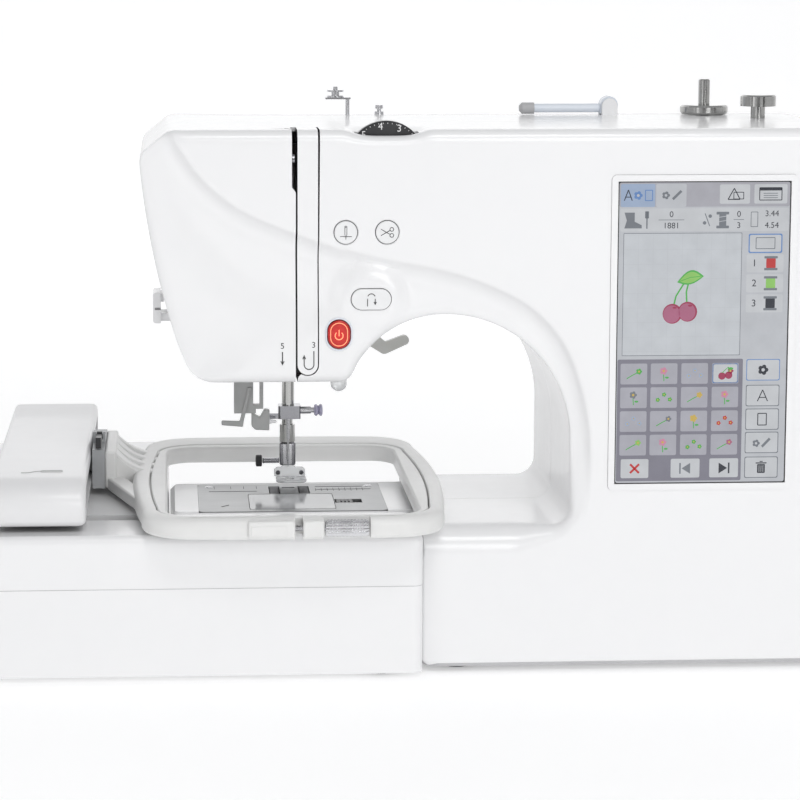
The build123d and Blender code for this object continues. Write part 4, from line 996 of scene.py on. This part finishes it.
stroke("ink", [(72.4, side_v[4] - 2.2), (78.0, side_v[4] - 2.2)], 0.6, 3)
stroke("ink", [(74.4, side_v[4] - 3.0), (76.0, side_v[4] - 3.0)], 0.5, 3)
for rib in (74.2, 75.2, 76.2):
    stroke("button", [(rib, side_v[4] - 1.0), (rib, side_v[4] + 2.4)], 0.25, 4)
picture.build(colours)
for name, text, u, v, height in (
    ("stitch_now", "0", 27.0, 16.7, 3.0),
    ("stitch_total", "1881", 27.0, 22.4, 3.0),
    ("thread_now", "0", 61.2, 16.7, 3.0),
    ("thread_total", "3", 61.2, 22.4, 3.0),
    ("size_across", "3.44", 78.0, 16.5, 3.0),
    ("size_along", "4.54", 78.0, 22.4, 3.0),
    ("colour_one", "1", 69.6, 41.6, 3.6),
    ("colour_two", "2", 69.6, 51.8, 3.6),
    ("colour_three", "3", 69.6, 62.0, 3.6),
):
    numeral("display_" + name, text, on_screen(u, v, 4), height, "housing", colours["ink"])

# ------------------------------------------------------------------- marks on the front
button_face = front_y - 0.7
x, z = position_button
position_icon = on_plane(
    button_face,
    [(x - 0.5, z + 3.2), (x - 0.5, z - 0.8), (x, z - 3.6), (x + 0.5, z - 0.8), (x + 0.5, z + 3.2),
     (x - 0.5, z + 3.2)],
    [(x - 2.9, z - 2.0), (x + 2.9, z - 2.0)],
    [(x - 0.3, z + 2.6), (x + 0.3, z + 2.6)],
)
line_piece("needle_icon", position_icon, 0.32, "position_button", mark_ink)
x, z = cutter_button
scissors = on_plane(button_face, [(x + 1.2, z - 0.9), (x - 3.2, z + 1.6)],
                    [(x + 1.2, z + 0.9), (x - 3.2, z - 1.6)], arc(x + 2.2, z - 1.5, 0.95, 0, 360),
                    arc(x + 2.2, z + 1.5, 0.95, 0, 360))
line_piece("scissors_icon", scissors, 0.36, "cutter_button", mark_ink)
x, z = reverse_button
u_turn = on_plane(button_face, arc(x, z + 1.0, 1.9, 20, 160), [(x - 1.9, z + 0.4), (x - 2.0, z - 3.4)],
                  [(x + 1.9, z + 0.4), (x + 1.9, z - 2.6)],
                  [(x + 1.3, z - 1.2), (x + 1.9, z - 2.6), (x + 2.5, z - 1.2)])
line_piece("u_turn_icon", u_turn, 0.42, "reverse_button", mark_ink)
x, z = start_button
start_icon = on_plane(button_face, arc(x, z - 0.6, 2.0, 130, 410, 20), [(x, z + 2.4), (x, z - 0.8)])
line_piece("start_icon", start_icon, 0.45, "start_button", red_glow)
start_rim = pill(start_button, start_size[1] - 3.4, start_size[0] - 3.4)
start_rim = on_plane(button_face + 0.05, start_rim + start_rim[:1])
line_piece("start_rim", start_rim, 0.4, "start_button", red_glow)
bezel = pill(start_button, start_size[1] + 1.0, start_size[0] + 1.0)
line_piece("start_bezel", on_plane(front_y + 0.1, bezel + bezel[:1]), 0.9, "housing", pin_white)


def surface_y(px, pz):
    """Where the front face lies, hollow or not."""
    return front_y + float(hollow((px, pz))[0])


def on_front(*strokes):
    return [[(px, surface_y(px, pz) - 0.03, pz) for px, pz in stroke] for stroke in strokes]


down_path = on_front([(-60.2, 166.1), (-60.2, 159.9)], [(-61.0, 161.4), (-60.2, 159.6), (-59.4, 161.4)])
line_piece("path_arrow_down", down_path, 0.55, "housing", mark_ink)
u_path = [(-44.4, 166.4), (-44.4, 159.6)] + arc(-46.85, 159.6, 2.45, 360, 180) + [(-49.3, 163.6)]
round_path = on_front(u_path, [(-50.0, 162.4), (-49.3, 164.3), (-48.6, 162.4)])
line_piece("path_arrow_round", round_path, 0.5, "housing", mark_ink)
for name, text, px, pz in (("path_number_five", "5", -60.2, 169.0), ("path_number_three", "3", -44.5, 169.4)):
    numeral(name, text, (px, surface_y(px, pz) - 0.05, pz), 3.0, "housing", mark_ink)

# Scale on the tension dial's front face
number_radius = 17.1
for text, turn in (("6", 74), ("5", 42), ("4", 10), ("3", -22), ("2", -54), ("1", -86)):
    lean = math.radians(turn)
    across, up = number_radius * math.sin(lean), number_radius * math.cos(lean)
    numeral("dial_number_" + text, text, (dial_x - across, dial_y - 0.05, dial_z + up), 3.6, "tension_dial",
            white_ink)
ticks = []
for turn in range(-75, 76, 7):
    lean = math.radians(turn)
    ticks.append([(dial_x + r * math.sin(lean), dial_y, dial_z + r * math.cos(lean)) for r in (18.3, 18.9)])
line_piece("dial_ticks", ticks, 0.3, "tension_dial", white_ink)


# ------------------------------------------------------------------------ small builders
def block_piece(name, x, y, z, body, material, bevel=0.4):
    """A block with rounded edges."""
    outline_points = [(x[0], z[0]), (x[1], z[0]), (x[1], z[1]), (x[0], z[1])]
    return extruded(name, outline_points, *y, body, material, bevel)


def tube_of_rings(rings, closed):
    """Points and faces through rings of equal length. closed joins the last ring to the first."""
    n = len(rings[0])
    points = [tuple(p) for ring in rings for p in ring]
    faces = []
    for row in range(len(rings) if closed else len(rings) - 1):
        a, b = row * n, (row + 1) % len(rings) * n
        faces += [(a + i, a + (i + 1) % n, b + (i + 1) % n, b + i) for i in range(n)]
    if not closed:
        faces += [tuple(range(n)), tuple(range(len(points) - 1, len(points) - n - 1, -1))]
    return points, faces


def turned(name, profile, centre, axis, body, material, steps=48, wave=None):
    """A turned solid. profile has (distance along the axis, radius). wave(turn, along) scales the radius."""
    rings = []
    for along, radius in profile:
        turns = [2 * math.pi * i / steps for i in range(steps)]
        reach = [radius * (wave(turn, along) if wave else 1.0) for turn in turns]
        ring = [(r * math.cos(turn), r * math.sin(turn)) for r, turn in zip(reach, turns)]
        x, y, z = centre
        if axis == "x":
            rings.append([(along, y + a, z + b) for a, b in ring])
        else:
            rings.append([(x + a, y + b, along) for a, b in ring])
    return mesh_piece(name, *tube_of_rings(rings, False), body, material, 30.0)


# --------------------------------------------------------------------------------- hoop
hoop_x, hoop_y = -55.0, -25.75
hoop_half_width, hoop_half_length = 82.0, 112.75
hoop_low, hoop_high = 77.5, 88.0
opening_x, opening_y = (-118.5, 8.5), (-125.0, 55.0)
hoop_screw_y, hoop_screw_z = -137.6, 83.0


def bowed(centre, half_width, half_length, ends, corner):
    """Closed outline of four bowed sides. ends is where the sides stop, corner the corner's middle."""
    (side_x, side_y), (end_x, end_y) = ends
    quarter = [((side_x, -side_y), (half_width, 0.0), (side_x, side_y)),
               ((side_x, side_y), corner, (end_x, end_y)),
               ((end_x, end_y), (0.0, half_length), (-end_x, end_y)),
               ((-end_x, end_y), (-corner[0], corner[1]), (-side_x, side_y))]
    line = []
    for sign in (1, -1):
        for a, b, c in quarter:
            line.append((sign * a[0], sign * a[1]))
            line += [(sign * x, sign * y) for x, y in through(a, b, c, 1.0)]
    return np.array([(centre[0] + x, centre[1] + y) for x, y in line])


def resampled(curve, turns, centre):
    """The points of a closed curve that lie in the given directions from the centre."""
    away = curve - centre
    angle = np.arctan2(away[:, 1], away[:, 0])
    order = np.argsort(angle)
    angle, reach = angle[order], np.hypot(*away.T)[order]
    angle = np.concatenate([angle[-1:] - 2 * math.pi, angle, angle[:1] + 2 * math.pi])
    reach = np.concatenate([reach[-1:], reach, reach[:1]])
    found = np.interp(turns, angle, reach)
    return centre + np.column_stack([found * np.cos(turns), found * np.sin(turns)])


def moved_out(curve, distance):
    direction = unit(np.roll(curve, -1, axis=0) - np.roll(curve, 1, axis=0))
    return curve + distance * np.column_stack([direction[:, 1], -direction[:, 0]])


hoop_outer_curve = bowed(
    (hoop_x, hoop_y), hoop_half_width, hoop_half_length,
    ((0.93 * hoop_half_width, 0.72 * hoop_half_length), (0.60 * hoop_half_width, 0.985 * hoop_half_length)),
    (0.83 * hoop_half_width, 0.92 * hoop_half_length),
)
hoop_centre = np.array((hoop_x, -32.0))
hoop_turns = np.arctan2(*(hoop_outer_curve - hoop_centre).T[::-1])
hoop_turns = np.sort(hoop_turns)[::3]
opening_curve = np.array(rounded_box(opening_x, opening_y, 14.0, 16))
sides = zip(opening_curve, np.roll(opening_curve, -1, axis=0))
dense = np.vstack([np.linspace(a, b, 60, endpoint=False) for a, b in sides])
seam_curve = bowed((hoop_x, -35.0), 72.5, 96.2, ((68.6, 72.0), (50.0, 95.6)), (62.6, 89.0))
edge_out = resampled(hoop_outer_curve, hoop_turns, hoop_centre)
edge_seam = resampled(seam_curve, hoop_turns, hoop_centre)
edge_in = resampled(dense, hoop_turns, hoop_centre)


def loft(sections):
    return [[(x, y, z) for x, y in moved_out(curve, shift)] for curve, shift, z in sections]


outer_sections = (
    (edge_seam, 0.35, hoop_low), (edge_seam, 0.35, 87.0), (edge_seam, 0.8, 87.8), (edge_seam, 1.6, hoop_high),
    (edge_out, -5.5, hoop_high), (edge_out, -3.0, 87.6), (edge_out, -1.2, 86.6), (edge_out, -0.3, 85.0),
    (edge_out, 0.0, 83.0), (edge_out, 0.0, 79.0), (edge_out, -1.0, hoop_low),
)
outer_ring = blank("outer_ring", *tube_of_rings(loft(outer_sections), True))
gap_plan = [(-55.4, -145.0), (-51.5, -145.0), (-51.5, -128.0), (-55.4, -128.0)]
knob_plan = rounded_box((-41.6, -17.9), (-146.0, -133.0), 1.0)
gaps = [prism(plan, 70.0, 95.0, "z") for plan in (gap_plan, knob_plan)]
clamp_hoop = cut("clamp_hoop", outer_ring, gaps, "hoop", hoop_light)
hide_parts("hoop_outer")
inner_sections = (
    (edge_seam, -0.25, 78.5), (edge_seam, -0.25, 86.8), (edge_seam, -0.8, 87.5), (edge_in, 2.6, 87.5),
    (edge_in, 1.0, 87.1), (edge_in, 0.25, 86.2), (edge_in, 0.0, 84.9), (edge_in, 0.7, 82.0),
    (edge_in, 0.0, 79.0), (edge_in, 0.3, 78.5),
)
inner_ring = mesh_piece("fabric_ring", *tube_of_rings(loft(inner_sections), True), "hoop", hoop_grey)
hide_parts("hoop_inner")
# Painted shade: a dark sheet inside the head behind the thread path's slot, so that the slot shows dark shade
# and not the floor behind
block_piece("painted_slot_shade", (-56.0, -49.0), (-101.4, -100.9), (154.8, 192.0), "housing", joint_and_shade_dark, 0.1)
for name, x in (("hoop_lug_left", (-78.6, -55.4)), ("hoop_lug_right", (-51.5, -40.9))):
    block_piece(name, x, (-140.6, -131.5), (78.6, 87.2), "hoop", hoop_light, 1.0)
block_piece("lug_label", (-77.2, -60.0), (-140.9, -140.2), (79.8, 84.6), "hoop", hoop_grey, 0.2)


def screw_thread(start, end, step, low, high):
    """Profile of a thread that goes up and down between two radii."""
    return [(x, high if i % 2 else low) for i, x in enumerate(np.arange(start, end, step))]


def knurl(turn, along):
    return 1.0 - 0.09 * (math.sin(8 * turn + 1.9 * along) * math.sin(8 * turn - 1.9 * along) + 1.0)


knob = [(-40.4, 1.6), (-40.3, 3.6), (-39.6, 4.2)] + [(x, 4.4) for x in np.linspace(-39.2, -20.1, 72)]
knob += [(-19.7, 4.2), (-19.0, 3.6), (-18.9, 2.6), (-19.3, 2.2), (-19.3, 0.4)]
screw_centre = (0, hoop_screw_y, hoop_screw_z)
clamp_knob = turned("hoop_clamp_knob", knob, screw_centre, "x", "hoop_screw", chrome_screw, 160, knurl)
hoop_thread = [(-73.0, 1.2)] + screw_thread(-72.8, -40.6, 0.35, 1.25, 1.5) + [(-40.2, 1.3)]
turned("hoop_clamp_thread", hoop_thread, screw_centre, "x", "hoop_screw", chrome_screw, 24)
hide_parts("hoop_screw")

# Bracket between the hoop and the carriage
web = [(-150.5, -16.0), (-150.5, 48.0), (-131.0, 66.0), (-121.0, 40.0), (-125.5, 0.0), (-126.0, -40.0),
       (-121.0, -84.0), (-126.6, -97.0)]
web_solid = extruded("bracket_web_blank", web, 78.0, 84.6, "hoop", hoop_light, axis="z")
web_hole = prism([(-143.5, -8.0), (-131.0, -8.0), (-131.0, -46.0)], 70.0, 90.0, "z")
web_hole_back = prism([(-143.5, 50.5), (-143.5, 44.0), (-132.5, 44.0), (-133.5, 58.0)], 70.0, 90.0, "z")
web_piece = cut("bracket_web", web_solid, [web_hole, web_hole_back], "hoop", hoop_light)
add_bevel(web_piece, 0.9)
block_piece("bracket_plate", (-152.0, -145.8), (-16.0, 48.0), (79.0, 99.0), "hoop", hoop_light, 1.2)


def swept(low, high):
    """Side outline of a concave fairing between the plate's top and the ring."""
    upper = [(-147.0 + 27.0 * t, high + (98.2 - high) * (1 - t) ** 2.6) for t in np.linspace(0, 1, 12)]
    return upper + [(-120.0, low), (-147.0, low)]


extruded("bracket_fairing", swept(80.0, 85.0), -13.0, 45.0, "hoop", hoop_light, 0.5)
for number, rib_y in enumerate((-12.0, 4.5, 21.0, 37.5)):
    extruded(f"bracket_rib_{number}", swept(81.0, 87.0), rib_y, rib_y + 8.5, "hoop", hoop_light, 1.6)

# ----------------------------------------------------------------------------- carriage
carriage_left, carriage_right = -208.0, -159.5
side_view = [(-107.0, 78.0), (-107.0, 86.0)]
turns = np.linspace(0, math.pi / 2, 12)[1:]
side_view += [(-89.0 - 18.0 * math.cos(t), 86.0 + 15.0 * math.sin(t)) for t in turns]
side_view += [(y, 101.3) for y in (-60.0, 0.0, 60.0, 122.0)]
side_view += [(125.0, 100.0), (126.0, 97.0), (126.0, 78.0)]
carriage_blank = blank("carriage_blank", *slab(side_view, "x", carriage_left, carriage_right))
add_bevel(carriage_blank, 3.2, 4, 50.0)
cavity = prism([(-205.2, -94.0), (-162.2, -94.0), (-162.2, 122.0), (-205.2, 122.0)], 70.0, 96.0, "z")
window = prism([(-92.0, 84.0), (118.0, 84.0), (118.0, 95.0), (-92.0, 95.0)], -163.0, -150.0, "x")
carriage_shell = cut("carriage_shell", carriage_blank, [cavity], "carriage", carriage_grey)
carriage_body = cut("carriage_body", carriage_shell, [window], "carriage", carriage_grey)
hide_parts("carriage_cover")
motif_z = 101.33
motif = [lifted(rounded_box((-183.0, -172.0), (-81.0, -77.5), 1.0), "z", motif_z),
         lifted([(-183.0, -79.0), (-186.0, -79.4), (-188.5, -82.0), (-193.0, -82.6)], "z", motif_z)]
motif[0].append(motif[0][0])
line_piece("carriage_hoop_mark", motif, 0.3, "carriage", threader_grey)

# -------------------------------------------------------------------- needle and presser
plate_y = (-13.0, -8.8)
threader_blank = [(-82.4, 168.0), (-82.4, 118.6), (-70.6, 118.6), (-70.6, 121.0), (-66.6, 121.0),
                  (-66.6, 133.0), (-66.8, 168.0)]
threader_solid = blank("threader_blank", *slab(threader_blank, "y", *plate_y))
threader_window = [(-72.0, 123.4), (-68.6, 123.4), (-68.6, 140.0), (-72.0, 140.0)]
threader_cutter = prism(threader_window, -20.0, 0.0)
threader = cut("threader_plate", threader_solid, [threader_cutter], "threader", threader_grey)
add_bevel(threader, 0.5)
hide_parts("needle_threader")
threader_lever = [(-75.0, 133.0), (-72.6, 133.0), (-77.2, 114.6), (-77.6, 111.4), (-89.2, 112.4),
                  (-89.2, 115.0), (-79.4, 114.6)]
threader_guide = [(-73.0, 119.0), (-73.0, 111.6), (-71.0, 109.6), (-63.4, 109.2), (-63.2, 120.4),
                  (-66.0, 120.8), (-68.4, 116.4), (-70.6, 117.6)]
threader_hook = [(-63.6, 115.0), (-59.4, 114.2), (-59.4, 113.2), (-63.6, 112.4)]
extruded("threader_lever", threader_lever, -14.2, -12.4, "threader", threader_grey, 0.5)
extruded("threader_guide", threader_guide, -13.6, -8.6, "threader", threader_grey, 0.6)
extruded("threader_hook", threader_hook, -11.4, -10.4, "threader", chrome_screw, 0.2)

block_piece("foot_ankle", (-57.1, -48.3), (5.4, 13.5), (86.2, 98.9), "presser_bar", dim_chrome_and_shade, 0.9)
block_piece("foot_ankle_face", (-55.4, -50.2), (4.9, 6.0), (86.6, 98.4), "presser_bar", foot_steel, 0.35)
foot_sides = [(-60.2, 80.2), (-60.2, 83.6), (-58.6, 85.0), (-56.0, 85.0), (-55.0, 86.4), (-49.8, 86.4),
              (-48.8, 85.0), (-44.4, 85.0), (-43.0, 83.6), (-43.0, 80.2)]
extruded("foot_clear_body", foot_sides, 5.2, 9.4, "presser_bar", lens_clear, 0.5)
for number, pin_x in enumerate((-58.0, -45.2)):
    pin = circle(pin_x, 82.4, 1.3, 20)
    extruded(f"foot_pin_{number}", pin, 4.6, 5.8, "presser_bar", dim_chrome_and_shade, 0.25)
toe_plan = rounded_box((-59.4, -42.6), (-5.4, 9.2), 4.6, 10)
toe = extruded("foot_toe_blank", toe_plan, 78.5, 80.1, "presser_bar", lens_clear, axis="z")
toe_hole = prism(rounded_box((-55.9, -49.5), (-3.2, 4.2), 3.1, 8), 75.0, 84.0, "z")
toe_ring = cut("foot_toe", toe, [toe_hole], "presser_bar", lens_clear)
add_bevel(toe_ring, 0.4)
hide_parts("embroidery_foot")

# Clamp screw with a winged knob
clamp_centre = (0, -0.5, 118.0)
shaft = [(-48.9, 1.4), (-46.2, 1.4), (-46.0, 2.1), (-40.4, 2.1), (-40.2, 1.5), (-38.6, 1.5)]
turned("clamp_screw_shaft", shaft, clamp_centre, "x", "needle_clamp_screw", chrome_screw, 32)
wings = [(-38.8, 1.6), (-38.6, 3.4), (-37.8, 4.5), (-36.9, 4.1), (-36.3, 3.0), (-35.7, 4.1), (-34.8, 4.6),
         (-34.1, 3.8), (-33.9, 1.8)]
winged_knob = turned("clamp_screw_knob", wings, clamp_centre, "x", "needle_clamp_screw", knob_lilac, 64,
                     lambda turn, along: 0.86 + 0.14 * math.cos(2 * turn))
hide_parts("needle_clamp_screw")
foot_screw_centre = (0, 8.2, 88.5)
foot_thread = [(-66.4, 1.3)] + screw_thread(-66.2, -57.6, 0.4, 1.35, 1.75) + [(-57.4, 1.4)]
turned("foot_screw_thread", foot_thread, foot_screw_centre, "x", "foot_screw", chrome_screw, 24)
head = [(-70.2, 2.0), (-70.0, 2.9)] + [(x, 3.2) for x in np.linspace(-69.7, -67.0, 4)]
head += [(-66.7, 2.8), (-66.6, 1.4)]
screw_head = turned("foot_screw_head", head, foot_screw_centre, "x", "foot_screw", black_plastic, 72,
                    lambda turn, along: 1.0 - 0.04 * (math.sin(18 * turn) > 0))
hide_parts("foot_screw")

# ---------------------------------------------------------------------------- handwheel
shaft_z = 235.0
wheel = [(250.3, 6.0), (250.3, 25.0), (251.3, 27.6), (253.5, 28.8), (257.0, 29.7), (262.0, 30.0)]
wheel += [(x, 30.0) for x in np.linspace(263.0, 269.0, 4)]
wheel += [(270.0, 30.0), (274.0, 29.4), (276.4, 27.8), (277.4, 25.6), (277.2, 23.6), (275.0, 21.6),
          (272.6, 20.6), (272.4, 12.0), (273.2, 8.0), (273.2, 0.4)]


def grips(turn, along):
    flute = max(0.0, math.sin(24 * turn)) ** 2
    on_rim = min(1.0, max(0.0, (along - 254.0) / 3.0)) * min(1.0, max(0.0, (274.5 - along) / 3.0))
    return 1.0 - 0.028 * flute * on_rim


wheel_piece = turned("handwheel_body", wheel, (0, 0.0, shaft_z), "x", "main_drive", shell_white, 288, grips)
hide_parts("handwheel")

# ------------------------------------------------------------------ marks on the needle plate
plate_z = 75.02
plate_marks = [[(-38.0 + 3.2 * i, -9.0), (-38.0 + 3.2 * i, -2.0)] for i in range(9)]
plate_marks += [[(-38.0, -5.5), (-8.0, -5.5)], [(-96.0, -9.0), (-70.0, -9.0)], [(-38.0, 1.5), (-12.0, 1.5)],
                [(-90.0, -48.0), (-86.0, -44.0)]]
plate_marks += [[(across, -2.0), (across, 4.0)] for across in (-93.0, -84.0, -77.0, -70.0)]
plate_marks = [lifted(mark, "z", plate_z) for mark in plate_marks]
line_piece("plate_scale", plate_marks, 0.3, "housing", mark_ink)
cover_edge = lifted(rounded_box((-75.2, -29.8), (-55.2, -16.8), 2.2), "z", plate_z - 0.1)
line_piece("bobbin_cover_gap", [cover_edge + cover_edge[:1]], 0.35, "housing", joint_and_shade_dark)
screw = [(74.6, 0.5), (74.6, 2.4), (75.1, 2.4), (75.35, 2.0), (75.35, 0.5)]
for name, px in (("plate_screw_left", -96.0), ("plate_screw_right", -9.0)):
    turned(name, screw, (px, 3.0, 0), "z", "housing", chrome_screw, 32)

# CAD parts with sharp edges get a small radius
for radius, names in (
    (0.15, "bobbin_cover_latch needle_plate"),
    (0.2, "upper_thread_guide take_up_lever"),
    (0.25, "display_bezel"),
    (0.3, "needle_clamp thread_cutter holder_lever inlet_panel power_switch"),
    (0.5, "winder_slide frame_holder"),
    (0.6, "presser_lever free_arm_cover"),
    (0.8, "main_frame"),
):
    for name in names.split():
        add_bevel(nodes[name], radius)

# ------------------------------------------------------------------------ seam of the unit
seam = [(-127.0, 141.84)]
for cx, cy, across, along, start, end, steps in (
    (-263.5, 128, 13.84, 13.84, 0.5, 1.0, 8),
    (-263.5, -103, 13.84, 14, 1.0, 1.5, 8),
    (5.4, -112, 5, 5, 1.5, 2.0, 6),
):
    turns = np.linspace(start * math.pi, end * math.pi, steps)
    seam += [(cx + across * math.cos(t), cy + along * math.sin(t)) for t in turns]
line_piece("unit_seam", [lifted(seam, "z", 48.0)], 0.3, "housing", base_grey)


# ------------------------------------------------------------------- floor, light, camera
def area_light(name, location, target, size, power):
    light = bpy.data.lights.new(name, "AREA")
    light.shape = "RECTANGLE"
    light.size, light.size_y = size
    light.energy = power
    obj = in_scene(name, light)
    obj.location = location
    obj.rotation_euler = (Vector(target) - Vector(location)).to_track_quat("-Z", "Y").to_euler()
    obj.visible_camera = False


area_light("key_softbox", (0.8, -2.4, 1.0), (0.0, -0.05, 0.14), (1.4, 1.0), 16.5)
area_light("fill_softbox", (-1.9, -2.0, 0.7), (-0.05, 0.0, 0.12), (1.2, 1.2), 5.0)
area_light("top_softbox", (0.2, -1.2, 1.75), (-0.05, 0.0, 0.1), (0.7, 0.5), 6.0)
area_light("rear_softbox", (0.1, 2.1, 0.9), (0.0, 0.0, 0.15), (2.0, 1.2), 2.0)
area_light("backdrop_light", (0.0, 1.5, 2.6), (0.0, 3.6, 1.0), (3.5, 0.8), 16.0)


def dark_card(name, x, y, z, width, height, turn):
    """A dark card that is seen only in the reflections of shiny parts."""
    card_mesh = bpy.data.meshes.new(name)
    corners = [(-width, -height), (width, -height), (width, height), (-width, height)]
    card_mesh.from_pydata([(a / 2, 0.0, b / 2) for a, b in corners], [], [(0, 1, 2, 3)])
    card_mesh.materials.append(card_paint.material)
    card = in_scene(name, card_mesh)
    card.location = (x, y, z)
    card.rotation_euler = (0.0, 0.0, math.radians(turn))
    card.visible_camera = card.visible_diffuse = card.visible_shadow = card.visible_transmission = False


card_paint = Shader("card_paint", (0.03, 0.03, 0.03), 0.8)
card_paint.vary_colour(4.0, (0.04, 0.04, 0.04))
dark_card("card_behind_camera", -0.1, -1.9, 0.4, 0.7, 0.5, 0)
dark_card("card_left", -0.9, -0.9, 0.3, 0.22, 1.0, -45)
dark_card("card_right", 0.65, -1.0, 0.3, 0.22, 1.0, 40)

world = bpy.data.worlds.new("studio")
bpy.context.scene.world = world
world.use_nodes = True
background = world.node_tree.nodes["Background"].inputs
background["Color"].default_value = (0.98, 0.985, 1.0, 1.0)
background["Strength"].default_value = 0.45
bpy.context.scene.view_settings.view_transform = "Standard"

floor_paint = Shader("pale_floor_paint", (0.94, 0.94, 0.94), 0.6)
floor_paint.vary_colour(3.0, (0.93, 0.93, 0.932))
floor_paint.vary_roughness(8.0, 0.05)
floor_paint.fill(floor_paint.bsdf, Emission_Color=(1.0, 1.0, 1.0, 1.0), Emission_Strength=0.27)
floor_mesh = bpy.data.meshes.new("studio_floor")
sweep = [(-4.0, 0.0), (2.4, 0.0)]
sweep += [(2.4 + 1.2 * math.sin(t), 1.2 - 1.2 * math.cos(t)) for t in np.linspace(0, math.pi / 2, 17)[1:]]
sweep += [(3.6, 5.0)]
floor_mesh.from_pydata([(x, y, z) for y, z in sweep for x in (-6, 6)], [],
                       [(2 * i, 2 * i + 1, 2 * i + 3, 2 * i + 2) for i in range(len(sweep) - 1)])
smooth(floor_mesh)
floor_mesh.materials.append(floor_paint.material)
in_scene("studio_floor", floor_mesh)

camera_data = bpy.data.cameras.new("camera")
camera_data.lens = 117.48
camera_data.sensor_width = 36.0
camera_data.shift_x = 0.12
camera_data.shift_y = -0.15
camera_data.clip_end = 30.0
camera = in_scene("camera", camera_data)
camera.location = (-0.1157, -1.3995, 0.3655)
camera_down, camera_turn = 7.169, -2.933
camera.rotation_euler = (math.radians(90 - camera_down), 0.0, math.radians(camera_turn))
bpy.context.scene.camera = camera
